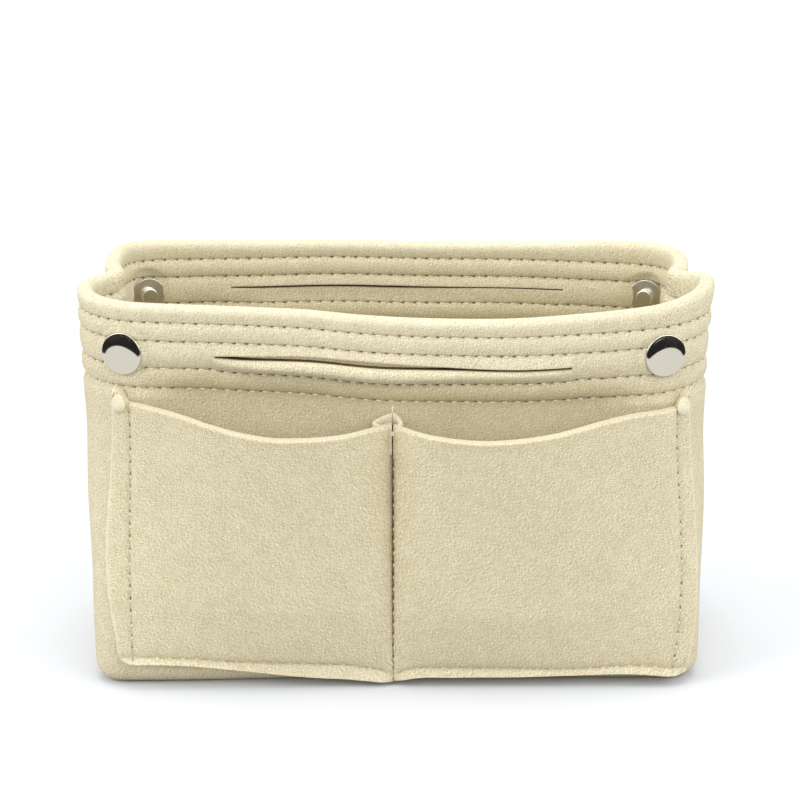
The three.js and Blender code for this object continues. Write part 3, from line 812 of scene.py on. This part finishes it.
def makeFloor():
    # Sewn bottom that follows the foot's plan, and the loose board, whose ends are bitten out by an
    # ellipse of reach by stretch * reach so that it passes the folded sides when it is lifted
    plan, turned = floorPlan, np.array([1, -1])
    front, back = (insetHalf(lambda s: planPoint(s, plan["level"], isBack), plan["inset"])
                   for isBack in (False, True))
    edge = np.concatenate([front, (back * turned)[-2:0:-1]])
    sheet = [roundedPlate(edge, 0.0, plan["thickness"], plan["round"])]
    bottom = makePiece("bottomFelt", sheet, [felt])
    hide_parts("bottom_panel")
    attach(bottom, "base")
    # The board keeps the rim's plan, which is the narrower one on its way out
    edge = insetHalf(lambda s: outline(s, box["corner"], box["bow"]), plan["boardInset"])
    edge = np.concatenate([edge, (edge * turned)[-2:0:-1]])
    slant = math.hypot(1, plan["notchDepth"] / plan["notchSpan"])
    reach = plan["notchDepth"] + box["pair"] * slant - plan["boardInset"] + plan["notchGap"]
    side = box["halfWidth"] - plan["boardInset"]
    bite = side - reach * np.sqrt(np.clip(1 - (edge[:, 1] / (reach * plan["notchStretch"])) ** 2, 0, 1))
    bite = np.where(edge[:, 0] < 0, np.minimum(bite, side - plan["leftShorter"]), bite)
    edge[:, 0] = np.sign(edge[:, 0]) * np.minimum(np.abs(edge[:, 0]), bite)
    top = box["floorTop"] + plan["boardThickness"]
    cover = [roundedPlate(edge, box["floorTop"], top, plan["boardRound"])]
    board = makePiece("baseBoardCover", cover, [boardFelt])
    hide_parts("base_board")
    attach(board, "base_board")
    print("floor made")


makeFloor()

# Patch pockets. across runs from the centre seam (0) to the outer stitching (1) and on over the seam
# allowance (2); up runs from the lower edge (0) over the foot's stitching (1) to the mouth (2)

pockets = {
    "felt": 2.5, "gap": 0.3, "bulge": 11.0, "swellPower": 0.72, "footShare": 0.36, "cut": 0.45,
    "centre": 0.05, "lowest": 5.0, "reach": 85.0, "tabRise": 4.0, "tabFrom": (0.05, 0.6),
    "cornerRound": 3.2, "turned": 0.999, "wallTop": 96.0, "flare": 1.5, "flareFrom": 0.05, "flareTo": 0.5,
    "footPull": 0.5, "pullFrom": 0.02, "sidePull": 0.55, "centrePull": 0.45, "pullWidth": 0.9,
    "fullRecess": 1.3, "fullWrinkle": 1.2,
    "mouthLean": 0.3, "mouthRoll": 0.9, "mouthFrom": 0.975, "fullRise": 4.2, "flarePower": 1.3,
    "wrinkles": ((0.35, 13, 19, 0), (0.25, 7, -31, 2)),   # depth, spans along s and z, and phase
    "centrePinch": 0.25, "centreWidth": 0.012, "sidePinch": 0.12, "sideWidth": 0.02,
    "footSoft": 0.27,
    "leftUv": 137.0, "outerUv": 300.0, "innerUv": 150.0,   # where the faces lie on the felt's map
    "left": {
        "peak": 0.42, "pleat": 6.2, "tab": 90.3, "tabHeight": 97.2,
        "stitch": ((0, 12, 40, 95), (82.8, 83.4, 85.2, 87.4)),
        "edge": ((2, 12, 20, 31, 68, 90, 100), (87.8, 89.0, 90.4, 92.1, 93.2, 92.8, 92.2)),
        "mouth": ((0, 5, 17, 30, 38, 48, 58, 67, 78, 88, 100),
                  (92.0, 91.8, 90.5, 89.7, 89.6, 90.8, 92.9, 95.0, 96.7, 97.5, 97.8)),
        "foot": ((0, 5, 14, 25, 49, 66, 83, 100), (4.2, 5.5, 7.2, 7.9, 9.2, 10.6, 11.1, 9.9)),
        "hem": ((0, 5, 14, 25, 49, 66, 83, 100), (1.1, 1.6, 2.6, 3.4, 6.7, 8.7, 9.0, 7.8)),
    },
    "right": {
        "peak": 0.33, "pleat": 2.6, "tab": 95.5, "tabHeight": 96.2,
        "stitch": ((0, 12, 40, 95), (88.0, 89.6, 92.2, 93.8)),
        "edge": ((2, 12, 20, 31, 68, 90, 100), (92.4, 94.4, 95.8, 97.2, 98.8, 98.2, 97.4)),
        "mouth": ((0, 5, 12, 20, 30, 40, 52, 66, 80, 91, 102),
                  (92.0, 91.6, 90.5, 89.6, 89.0, 89.5, 90.9, 93.4, 95.2, 95.7, 95.7)),
        "foot": ((0, 5, 20, 40, 56, 76, 88, 100), (4.2, 5.7, 6.3, 6.15, 5.9, 7.05, 6.2, 5.8)),
        "hem": ((0, 5, 20, 40, 56, 76, 90, 100), (1.3, 2.7, 3.35, 3.6, 4.2, 4.6, 3.5, 3.3)),
    },
}


def pocketPlace(across, up, depth, side, back):
    # Point of the sheet, depth behind its outer face. It stands off the wall by bulge * sin^swellPower of
    # the way across, more towards the mouth, is drawn in at its stitching and lies flat outside it
    shape = pockets[side]
    across, up, depth = np.broadcast_arrays(across, up, depth)
    mouthUp = np.clip(up - 1, 0, 1)
    guess = pockets["lowest"] + pockets["reach"] * mouthUp
    stitch = through(guess, *shape["stitch"])
    edge = through(guess, *shape["edge"])
    inner, outer = np.clip(across, 0, 1), np.clip(across - 1, 0, 1)
    s = pockets["centre"] + (stitch - pockets["centre"]) * inner + (edge - stitch) * outer
    mouth = through(s, *shape["mouth"]) + pockets["tabRise"] * fade(outer, *pockets["tabFrom"])
    foot = through(s, *shape["foot"])
    hem = through(s, *shape["hem"])
    hem = hem + pockets["cornerRound"] * (1 - np.sqrt(1 - outer ** 2 * pockets["turned"])) * (up < 1)
    z = np.where(up < 1, hem + (foot - hem) * np.clip(up, 0, 1), foot + (mouth - foot) * mouthUp)
    warp = math.log(0.5) / math.log(shape["peak"])
    swell = np.sin(math.pi * inner ** warp) ** pockets["swellPower"]
    rise = pockets["footShare"] + (1 - pockets["footShare"]) * mouthUp
    rise = np.minimum(1, np.sqrt(mouthUp * pockets["fullRise"])) * rise
    off = pockets["gap"] + pockets["bulge"] * swell * rise
    flare = np.clip(1 - up, 0, 1) ** pockets["flarePower"]
    flare = flare * fade(inner, 0, pockets["flareFrom"]) * (1 - fade(outer, 0, pockets["flareTo"]))
    off = off + pockets["flare"] * flare
    face, width = depth < 1, pockets["pullWidth"]
    off = off - pockets["footPull"] * bell(z, foot, width) * face * (inner > pockets["pullFrom"])
    off = off - pockets["sidePull"] * bell(s, stitch, width) * face
    recess = wallRecess(s, np.minimum(z, pockets["wallTop"])) * np.clip(swell * pockets["fullRecess"], 0, 1)
    off = off + recess * (box["backRecess"] if back else 1)
    off = off - pockets["centrePull"] * bell(s, 0, width) * face
    wrinkle = sum(crest * np.sin(s / along + z / high + phase)
                  for crest, along, high, phase in pockets["wrinkles"])
    off = off + wrinkle * np.clip(swell * rise * pockets["fullWrinkle"], 0, 1)
    roll = fade(mouthUp, pockets["mouthFrom"], 1)
    off = off + roll * pockets["mouthLean"] * swell
    z = z + roll * pockets["mouthRoll"] * np.clip(depth / pockets["felt"], 0, 1)
    return s, z, off + pockets["felt"] - depth, np.abs(z - foot), np.abs(s - stitch)


def halfWall(side, s, z, back):
    # Outer face of the wall's left or right half below the band, the left one turned over to the right,
    # and the way that leads straight out of it by 1
    turn = -1 if side == "left" else 1
    place, ahead = (wallPoint(turn * np.asarray(s, float), np.clip(z, 0, pockets["wallTop"]), inset, back)
                    * np.array([turn, 1, 1]) for inset in (0.0, -1.0))
    return place, ahead - place


def pocketSurface(across, up, depth, side, back):
    # The point of the sheet on the wall's outer face, moved off it along the wall's level normal
    s, z, stand, footOff, sideOff = pocketPlace(across, up, depth, side, back)
    place, flat = halfWall(side, s, z, back)
    flat[..., 2] = 0
    flat /= np.linalg.norm(flat, axis=-1, keepdims=True)
    place = place + flat * stand[..., None]
    place[..., 2] = z
    return place, s, z, footOff, sideOff


def closedSheet(outer, inner):
    # Points and faces of a sheet between two grids, joined round the edge
    rows, columns = outer.shape[:2]
    count = rows * columns
    faces = gridFaces(rows, columns).tolist()
    faces += gridFaces(rows, columns, count, True).tolist()
    ring = [j for j in range(columns)] + [i * columns + columns - 1 for i in range(1, rows)]
    ring += [(rows - 1) * columns + j for j in range(columns - 2, -1, -1)]
    ring += [i * columns for i in range(rows - 2, 0, -1)]
    faces += [[p, p + count, q + count, q] for p, q in zip(ring, ring[1:] + ring[:1])]
    return np.concatenate([outer.reshape(-1, 3), inner.reshape(-1, 3)]), faces


pocketGrid = {
    "across": ([0, 0.004, 0.009, 0.016], (0.026, 0.97, 0.0085),
               [0.985, 0.995, 1.0, 1.06, 1.2, 1.35, 1.5, 1.65, 1.75, 1.85, 1.92, 1.965, 1.99, 2.0]),
    "up": ([0, 0.03, 0.1, 0.25, 0.5, 0.75, 0.9, 1.0, 1.005, 1.012], (1.025, 1.985, 0.0125),
           [1.993, 1.998, 2.0]),
    "lengths": {"hem": 12, "mouth": 90, "side": 6}, "hemReach": 0.3,   # millimetres for 1 of up or across
}


pocketTint = {   # paler at the mouth's top edge, on the hem as painted light, outside the side stitching, and most at the cut side edge
    "mouth": 0.04, "mouthFrom": (1.994, 1.999), "mouthEnd": 1.02, "hem": 0.10, "hemTo": (0.85, 1.0),
    "side": 0.03, "sideFrom": (1.0, 1.1), "cut": 0.30, "cutFrom": (1.80, 1.97),
}


def pocketSheet(side, back):
    # Outer and inner face of the sheet on one grid of across and up, joined round the cut edge, which is
    # rounded by cut * (1 - sqrt(1 - q^2)), where q grows to 1 at the edge
    a, u = (np.concatenate([first, spaced(*run), last])
            for first, run, last in (pocketGrid["across"], pocketGrid["up"]))
    lengths = pocketGrid["lengths"]
    border = np.minimum(np.minimum(u, pocketGrid["hemReach"]) * lengths["hem"], (2 - u) * lengths["mouth"])
    border = np.minimum(border[:, None], (2 - a)[None] * lengths["side"])
    cut = pockets["cut"] * (1 - np.sqrt(1 - np.clip(1 - border / pockets["cut"], 0, 1) ** 2))
    pinch = 1 - pockets["centrePinch"] * bell(a, 0, pockets["centreWidth"])
    pinch = pinch - pockets["sidePinch"] * bell(a, 1, pockets["sideWidth"])
    thick = np.broadcast_to(pockets["felt"] * pinch, border.shape)
    places, uv, along, off = [], [], [], []
    for depth in (cut, thick - cut):
        place, s, z, footOff, sideOff = pocketSurface(a[None], u[:, None], depth, side, back)
        places.append(place)
        shiftU = pockets["leftUv"] if side == "left" else 0
        shiftV = pockets["outerUv"] + pockets["innerUv"] * (len(places) - 1)
        uv.append(np.stack([s + shiftU, z + shiftV], -1))
        nearFoot = footOff < np.minimum(sideOff, s)
        along.append(np.where(nearFoot, s, z))
        off.append(np.minimum.reduce([np.hypot(footOff, pockets["footSoft"]), sideOff, s]))
    points, faces = closedSheet(*places)
    look = pocketTint
    tint = look["mouth"] * fade(u, *look["mouthFrom"])[:, None] * (a < look["mouthEnd"])[None]
    # The hem is paler with painted light, where it catches the light
    tint = tint + look["hem"] * (1 - fade(u, *look["hemTo"]))[:, None]
    tint = tint + (look["side"] * fade(a, *look["sideFrom"]) + look["cut"] * fade(a, *look["cutFrom"]))[None]
    return part(points, faces, np.array(uv), np.ravel(along), np.ravel(off), np.tile(tint.ravel(), 2))


pocketThread = {
    "upwards": (1.02, 1.985), "across": (0.03, 1.0), "centre": 0.002, "samples": 400,
    "start": 0.5, "sideEnd": 1.7, "footEnd": 1.9, "radius": 0.25, "lift": 0.05,
}


def pocketThreads(side, back):
    # Thread beads beside the needle holes of the outer, lower and, on one side, centre stitching
    pitch, first = box["pitch"], pocketThread["start"]
    samples = pocketThread["samples"]
    upwards, level = (np.linspace(*pocketThread[key], samples) for key in ("upwards", "across"))
    lines = [(1.0, upwards), (level, 1.0)] + [(pocketThread["centre"], upwards)] * (side == "right")
    starts, ends, normals = [], [], []
    for across, up in lines:
        place, s, z = pocketSurface(across, up, 0.0, side, back)[:3]
        lift = pocketSurface(across, up, -1.0, side, back)[0] - place
        upright = abs(z[-1] - z[0]) > abs(s[-1] - s[0])
        along = z if upright else s
        holes = (np.arange(math.ceil(along[0] / pitch), math.floor(along[-1] / pitch - 1)) + 0.5) * pitch
        spots = (holes + first, holes + pocketThread["footEnd"], holes)
        if upright:
            spots = (holes - first, holes - pocketThread["sideEnd"], holes)
        for made, spot, grid in zip((starts, ends, normals), spots, (place, place, lift)):
            made.append(np.stack([np.interp(spot, along, grid[:, k]) for k in range(3)], -1))
    starts, ends, normals = (np.concatenate(q) for q in (starts, ends, normals))
    return threads(starts, ends, normals, pocketThread["radius"], pocketThread["lift"])


folded = {
    "turns": (0, 0.28, 0.52, 0.76, 1), "reachShares": (0.62, 1, 0.62), "reachEnds": (0.5, 0.4),
    "stands": (4.4, 5.0, 3.9, 2.1, 1.2), "bottom": 82.0, "half": 0.75, "steps": 25,
    "topTurns": (0, 0.3, 0.52, 0.76, 1), "tops": (91.9, 92.2, 93.0, 94.2, 95.2),
    "rises": (0, 0.5, 0.85, 0.95, 0.985, 1.0), "cuts": (0, 0, 0, 0.03, 0.15, 0.45),
    "tint": 0.12, "topTint": 0.2, "tintFrom": (0.9, 1), "uvStretch": (1.7, 12), "uvFrom": 60, "uvApart": 7,
}

cornerDrop = {
    "width": 2.1, "half": 3.1, "shift": 0.3, "stand": 3.0, "flat": 0.8, "power": 0.8, "heavier": 0.25,
    "steps": 13, "sides": 20, "tint": 0.30, "uvFrom": (20, 40),
}


def pleat(side, back):
    # Folded end of the pocket at the centre: a strip of felt that leaves the seam, turns back at its
    # corner and ends on the wall, its top edge climbing towards the wall. Both faces lie half the felt's
    # thickness to either side of the strip's line, less where the top edge is rounded
    turn, rise = np.linspace(0, 1, folded["steps"]), np.array(folded["rises"])
    first, last = folded["reachEnds"]
    shares = [share * pockets[side]["pleat"] for share in folded["reachShares"]]
    reach = through(turn, folded["turns"], (first, *shares, last))
    stand = through(turn, folded["turns"], folded["stands"])
    top = through(turn, folded["topTurns"], folded["tops"])
    edgeX, edgeY = np.gradient(reach), np.gradient(stand)
    length = np.hypot(edgeX, edgeY)
    half = folded["half"] - np.array(folded["cuts"])[:, None]
    z = folded["bottom"] + (top[None] - folded["bottom"]) * rise[:, None]
    faces = []
    for sign in (1, -1):
        out = stand - edgeX / length * half * sign
        place, flat = halfWall(side, reach + edgeY / length * half * sign, z, back)
        place = place + flat * out[..., None]
        place[..., 2] = z
        faces.append(place)
    points, quads = closedSheet(*faces)
    wide, high = folded["uvStretch"]
    uv = np.stack(np.broadcast_arrays(reach[None] * wide + folded["uvFrom"], (rise * high)[:, None]), -1)
    uv = np.concatenate([uv, uv + folded["uvApart"]])
    tint = folded["tint"] + folded["topTint"] * fade(rise, *folded["tintFrom"])
    tint = np.tile(np.broadcast_to(tint[:, None], z.shape).ravel(), 2)
    return part(points, outwards(points, quads), uv, tint=tint)


def cornerTab(side, back):
    # Rounded end of the side fold at the mouth: a drop turned about its height, of width * sin^power with a
    # heavier lower end, flattened on the wall
    drop = cornerDrop
    t = np.linspace(0, math.pi, drop["steps"])
    width = drop["width"] * np.sin(t) ** drop["power"] * (1 + drop["heavier"] * np.cos(t))
    profile = np.column_stack([width * (np.sin(t) > 1e-6), drop["shift"] - drop["half"] * np.cos(t)])
    points, faces = lathe(profile, drop["sides"])
    s = pockets[side]["tab"] + points[:, 0]
    place, flat = halfWall(side, s, pockets["wallTop"] + 0 * s, back)
    place = place + flat * (drop["stand"] + points[:, 2] * drop["flat"])[:, None]
    place[:, 2] = pockets[side]["tabHeight"] + points[:, 1]
    uv = points[:, :2] + drop["uvFrom"]
    return part(place, outwards(place, faces), uv, tint=drop["tint"])


loose = {   # two ends of each thread as place along the wall and height
    "side": (((1.6, 101.2), (2.6, 98.6)), ((0.4, 102.0), (1.9, 96.8))), "sideStand": 2.9,
    "centre": (((-0.3, 98.0), (-0.1, 95.2)), ((0.1, 95.4), (0.5, 92.6))), "centreStand": 2.2,
    "outwardAt": 90, "radius": 0.24, "lift": 0.1, "tack": 91.2, "tackStep": 0.5, "tackHalf": 1.1,
    "tackStand": 4.9, "tackRadius": 0.3, "tackLift": 0.12,
}


def looseEnds(side, back):
    # Thread ends left at the top of the side seam, and on one side the bar tack and tail of the centre
    tab = pockets[side]["tab"]
    tails = [([(tab + s, z) for s, z in pair], loose["sideStand"]) for pair in loose["side"]]
    if side == "right":
        tails += [(pair, loose["centreStand"]) for pair in loose["centre"]]
    spots, normals = [], []
    for pair, stand in tails:
        s, z = np.array(pair).T
        place, flat = halfWall(side, s, z, back)
        place = place + flat * stand
        place[:, 2] = z
        spots.append(place)
        normals.append(halfWall(side, s[0], loose["outwardAt"], back)[1])
    starts, stops = np.array(spots).transpose(1, 0, 2)
    shape = threads(starts, stops, normals, loose["radius"], loose["lift"])
    if side != "right":
        return [shape]
    rows = loose["tack"] - loose["tackStep"] * np.arange(3)
    knots = [wallPoint(q * loose["tackHalf"], rows, -loose["tackStand"], back) for q in (-1, 1)]
    return [shape, threads(*knots, [normals[-1]] * len(rows), loose["tackRadius"], loose["tackLift"])]


def mirrorShape(shape):
    # The same shape on the left half
    points = shape["points"] * np.array([-1, 1, 1])
    return dict(shape, points=points, faces=[f[::-1] for f in shape["faces"]])


def makePockets():
    # Each pocket is one piece: its sheet, threads, corner tab, pleat and loose ends
    for face, back in (("front", False), ("back", True)):
        for side in ("left", "right"):
            shapes = [pocketSheet(side, back), pocketThreads(side, back), cornerTab(side, back)]
            shapes += [pleat(side, back)] + looseEnds(side, back)
            if side == "left":
                shapes = [mirrorShape(q) for q in shapes]
            piece = makePiece(f"{side}{face.title()}PocketFelt", shapes, [felt, thread], back)
            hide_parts(f"{face}_{side}_pocket")
            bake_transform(piece)
    print("pockets made")


makePockets()

# Press snaps, turned round the line they face along. The felt's outer face is at 0

innerCurve = box["corner"] - box["pair"]
pressed = innerCurve - math.sqrt(innerCurve ** 2 - (snap["flangeRadius"] + snap["gap"]) ** 2)
flangeOuter = -(box["pair"] - pressed) - snap["gap"]
flangeInner = flangeOuter - snap["flange"]


def rounded(points, radius, closed=False, steps=3, share=0.45):
    # Profile whose corners are replaced by short arcs, as quadratic curves between two points cut back by
    # the radius, or by that share of a shorter side
    points = [np.array(p, float) for p in points]
    made = []
    for i, p in enumerate(points):
        if not closed and i in (0, len(points) - 1):
            made.append(p)
            continue
        before, after = points[i - 1], points[(i + 1) % len(points)]
        r1 = min(radius, share * np.linalg.norm(before - p))
        r2 = min(radius, share * np.linalg.norm(after - p))
        a = p + (before - p) / np.linalg.norm(before - p) * r1
        b = p + (after - p) / np.linalg.norm(after - p) * r2
        for t in np.linspace(0, 1, steps + 1):
            made.append((1 - t) ** 2 * a + 2 * t * (1 - t) * p + t * t * b)
    return made + ([made[0]] if closed else [])


def capProfile():
    # Rivet head, shank, rolled edge and a domed cap that falls away as a circle's arc
    s = snap
    end = flangeInner - s["gap"] - s["head"]
    rim = s["capRadius"] - s["capEdge"] / 2
    radius = (rim ** 2 + (s["capRise"] - s["capEdge"]) ** 2) / (2 * (s["capRise"] - s["capEdge"]))
    tilt = np.linspace(math.asin(rim / radius), 0, s["domeSteps"])
    dome = [(radius * math.sin(t), s["gap"] + s["capRise"] - radius * (1 - math.cos(t))) for t in tilt]
    bend = np.linspace(-math.pi / 2, math.pi / 2, s["edgeSteps"])
    half = s["capEdge"] / 2
    roll = [(rim + half * math.cos(b), s["gap"] + half + half * math.sin(b)) for b in bend]
    shank = rounded([(0, end), (s["headRadius"], end), (s["headRadius"], end + s["head"]),
                     (s["rivetRadius"], end + s["head"]), (s["rivetRadius"], s["gap"])], s["shankRound"])
    return [tuple(p) for p in shank[:-1]] + [(s["rivetRadius"], s["gap"])] + roll + dome[1:]


def socketProfile():
    # Flange on the felt and the wall of the socket round its bore, as a closed ring
    s = snap
    low = flangeOuter - s["socketHeight"]
    return rounded([
        (s["rivetRadius"] + s["gap"], flangeOuter), (s["rivetRadius"] + s["gap"], flangeInner),
        (s["bore"], flangeInner), (s["bore"], low), (s["socketRadius"], low),
        (s["socketRadius"], flangeInner), (s["flangeRadius"], flangeInner), (s["flangeRadius"], flangeOuter),
    ], s["socketRound"], closed=True)


def studProfile():
    # Hollow stud: a head wider than its neck, the flange on the felt and the inside up to the tip again
    s = snap
    tip = flangeOuter - s["studHeight"]
    side, wall = s["neck"], s["studWall"]
    outer = [
        (0, tip), (side, tip), (s["studRadius"], tip + wall), (side, tip + s["studRadius"] - side + wall),
        (side, flangeInner), (s["flangeRadius"], flangeInner), (s["flangeRadius"], flangeOuter),
        (s["rivetRadius"] + s["gap"], flangeOuter), (s["rivetRadius"] + s["gap"], flangeInner),
        (side - wall, flangeInner), (side - wall, tip + wall), (0, tip + wall),
    ]
    return rounded(outer, s["studRound"])


def springShape():
    # Round wire bent to an open ring, its ends closed by rounded rings
    s = snap
    radius, wire = s["bore"] - s["gap"] - s["wire"] / 2, s["wire"] / 2
    height = flangeOuter - s["socketHeight"] + s["wireUp"]
    mouth = math.radians(s["mouth"] / 2)
    turn = np.linspace(mouth, 2 * math.pi - mouth, s["wireSteps"])
    ends, sides = s["wireEnds"], s["wireSides"]
    swell = np.concatenate([ends, np.ones(len(turn) - 2 * len(ends)), ends[::-1]])[:, None]
    ring = np.arange(sides) * 2 * math.pi / sides
    r = radius + wire * swell * np.cos(ring)[None]
    points = np.stack([r * np.cos(turn)[:, None], height + wire * swell * np.sin(ring)[None],
                       r * np.sin(turn)[:, None]], -1).reshape(-1, 3)
    last = len(points) - len(ring)
    faces = ringFaces(len(turn), len(ring)) + [list(range(len(ring)))[::-1], list(range(last, len(points)))]
    return points, faces


def placeSnap(points):
    # Turns the height axis to the way the snap faces and moves it to its place on the front right corner
    facing = Vector((math.sin(snapAngle), -math.cos(snapAngle), 0))
    turn = np.array(Vector((0, 1, 0)).rotation_difference(facing).to_matrix())
    flat = outlineParts(box["corner"], box["bow"])[-1]
    centre = np.array([box["halfWidth"] - box["corner"], -flat, snap["height"]])
    return points @ turn.T + centre + box["corner"] * np.array(facing)


def makeSnaps():
    # Caps on all four corners, socket and spring inside the front wall, stud inside the back wall
    shapes = {"snap_cap": lathe(capProfile(), snap["capSides"]), "snap_socket": lathe(socketProfile()),
              "snap_stud": lathe(studProfile()), "snap_spring": springShape()}
    for key, (points, faces) in shapes.items():
        shapes[key] = (placeSnap(points), outwards(points, faces))
    for face, back in (("front", False), ("back", True)):
        for side, mirror in (("left", True), ("right", False)):
            for key in ("snap_cap", "snap_stud") if back else ("snap_cap", "snap_socket", "snap_spring"):
                points, faces = shapes[key]
                word = key.split("_")[1].title()
                metal = capNickel if key == "snap_cap" else snapNickel
                piece = makePiece(f"{side}{face.title()}Snap{word}", [part(points, faces)], [metal],
                                  back, mirror, snap["sharp"])
                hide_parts(f"{face}_{side}_{key}")
                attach(piece, f"{face}_wall")
    print("snaps made")


makeSnaps()

# Floor, cards, light and camera

studio = {
    "floor": (0.765, 0.790, 0.840, 1), "floorFar": (0.48, 0.48, 0.48, 1), "ambient": 0.64,
    "floorSize": 6.0, "floorLevel": -0.0002, "darkCard": (0.012, 0.012, 0.014, 1),
    "arch": {"cap": (0.0895, -0.0385, 0.114), "direction": (0.683, -0.672, -0.286), "distance": 0.3,
             "halfWidth": 0.62, "halfHeight": 0.56, "centre": -0.28, "outer": 1.62, "ends": (-25, 205),
             "widest": 1.3, "steps": 41},
    "camera": {"distance": 1.1, "elevation": 17.5, "azimuth": -0.9, "roll": 0.05,
               "target": (0.0016, 0, 0.086), "lens": 143.9, "sensor": 36.0, "clip": (0.01, 50)},
    "suns": {   # direction, strength and spread in degrees
        "topLight": ((0.0, 0.12, 1.0), 1.22, 40), "frontLight": ((0.15, -1.0, 0.8), 0.44, 50),
        "leftLight": ((-1.0, -0.35, 0.6), 1.32, 50), "rightLight": ((1.0, -0.42, 0.55), 1.06, 50),
    },
}


def startTree(tree, output):
    # Empties a node tree and gives its output node, and the share of rays that come from the camera or
    # from a polished or clear surface, which see plain white
    tree.nodes.clear()
    rays = tree.nodes.new("ShaderNodeLightPath").outputs
    kinds = ("Camera", "Glossy", "Transmission")
    camera, glossy, clear = (Wire(tree, rays[f"Is {kind} Ray"]) for kind in kinds)
    seen = camera.math("MAXIMUM", camera.math("MAXIMUM", camera, glossy), clear)
    return seen, tree.nodes.new(output).inputs["Surface"]


def makeFloorPlane():
    # Plain floor that stays white to the camera apart from the object's shadow
    mesh = bpy.data.meshes.new("floorPlane")
    size, level = studio["floorSize"], studio["floorLevel"]
    corners = [(-size, -size, level), (size, -size, level), (size, size, level), (-size, size, level)]
    mesh.from_pydata(corners, [], [(0, 1, 2, 3)])
    material = bpy.data.materials.new("paleFloor")
    material.use_nodes = True
    tree = material.node_tree
    seen, surface = startTree(tree, "ShaderNodeOutputMaterial")
    white, dim = (seen.add("ShaderNodeBsdfDiffuse", {}, {"Color": studio[key]})
                  for key in ("floor", "floorFar"))
    mixed = seen.add("ShaderNodeMixShader", {}, {0: seen, 1: dim, 2: white})
    tree.links.new(mixed.socket, surface)
    mesh.materials.append(material)
    newObject("floorPlane", mesh)


def makeArches():
    # Dark arches in front of the caps and behind the rear ones, seen only in polished metal. Each lies
    # round the way the cap mirrors the camera, between two ellipses whose angles become places by their
    # tangent
    dark = newMaterial("darkCard", {"Base Color": studio["darkCard"], "Roughness": 1.0})[0]
    arch = studio["arch"]
    turn = np.linspace(*np.radians(arch["ends"]), arch["steps"])
    grow = np.array([1.0, arch["outer"]])[:, None]
    x = arch["halfWidth"] * grow * np.cos(turn)
    y = arch["centre"] + arch["halfHeight"] * grow * np.sin(turn)
    flat = np.tan(np.clip(np.stack([x, y], -1), -arch["widest"], arch["widest"])).reshape(-1, 2)
    ahead = Vector(arch["direction"]).normalized()
    beside = Vector((0, 0, 1)).cross(ahead).normalized()
    over = ahead.cross(beside)
    place = np.array(ahead) + flat[:, :1] * np.array(beside) + flat[:, 1:] * np.array(over)
    place = np.array(arch["cap"]) + arch["distance"] * place
    for name, signX, signY in (("One", 1, 1), ("Two", -1, 1), ("Three", 1, -1), ("Four", -1, -1)):
        mesh = bpy.data.meshes.new(f"darkArch{name}")
        mesh.from_pydata((place * np.array([signX, signY, 1])).tolist(), [], gridFaces(2, len(turn)).tolist())
        mesh.materials.append(dark)
        card = newObject(f"darkArch{name}", mesh)
        card.visible_camera = card.visible_diffuse = card.visible_shadow = False
        card.visible_transmission = card.visible_volume_scatter = False


def makeWorld():
    # Even soft light, which the camera sees as plain white
    world = bpy.data.worlds.new("studio")
    bpy.context.scene.world = world
    world.use_nodes = True
    seen, surface = startTree(world.node_tree, "ShaderNodeOutputWorld")
    soft, white = (seen.add("ShaderNodeBackground", {}, {"Color": (1, 1, 1, 1), "Strength": strength})
                   for strength in (studio["ambient"], 1.0))
    mixed = seen.add("ShaderNodeMixShader", {}, {0: seen, 1: soft, 2: white})
    world.node_tree.links.new(mixed.socket, surface)


def makeSuns():
    # Far soft lights, each from its direction and the same all over the floor
    for name, (towards, strength, spread) in studio["suns"].items():
        light = bpy.data.lights.new(name, "SUN")
        light.energy, light.angle = strength, math.radians(spread)
        lamp = newObject(name, light)
        lamp.rotation_mode = "QUATERNION"
        lamp.rotation_quaternion = (-Vector(towards)).to_track_quat("-Z", "Y")


def makeCamera():
    # Camera at its distance from the target, turned by azimuth and elevation, then rolled
    settings = studio["camera"]
    camera = newObject("camera", bpy.data.cameras.new("camera"))
    camera.data.lens, camera.data.sensor_width = settings["lens"], settings["sensor"]
    camera.data.clip_start, camera.data.clip_end = settings["clip"]
    azimuth, elevation = math.radians(settings["azimuth"]), math.radians(settings["elevation"])
    ahead = Vector((math.sin(azimuth) * math.cos(elevation), math.cos(azimuth) * math.cos(elevation),
                    -math.sin(elevation)))
    camera.location = Vector(settings["target"]) - ahead * settings["distance"]
    camera.rotation_mode = "QUATERNION"
    level = ahead.to_track_quat("-Z", "Y")
    camera.rotation_quaternion = Quaternion(ahead, math.radians(settings["roll"])) @ level
    bpy.context.scene.camera = camera


makeFloorPlane()
makeArches()
makeWorld()
makeSuns()
makeCamera()
bpy.context.scene.view_settings.view_transform = "Standard"

print("scene made")
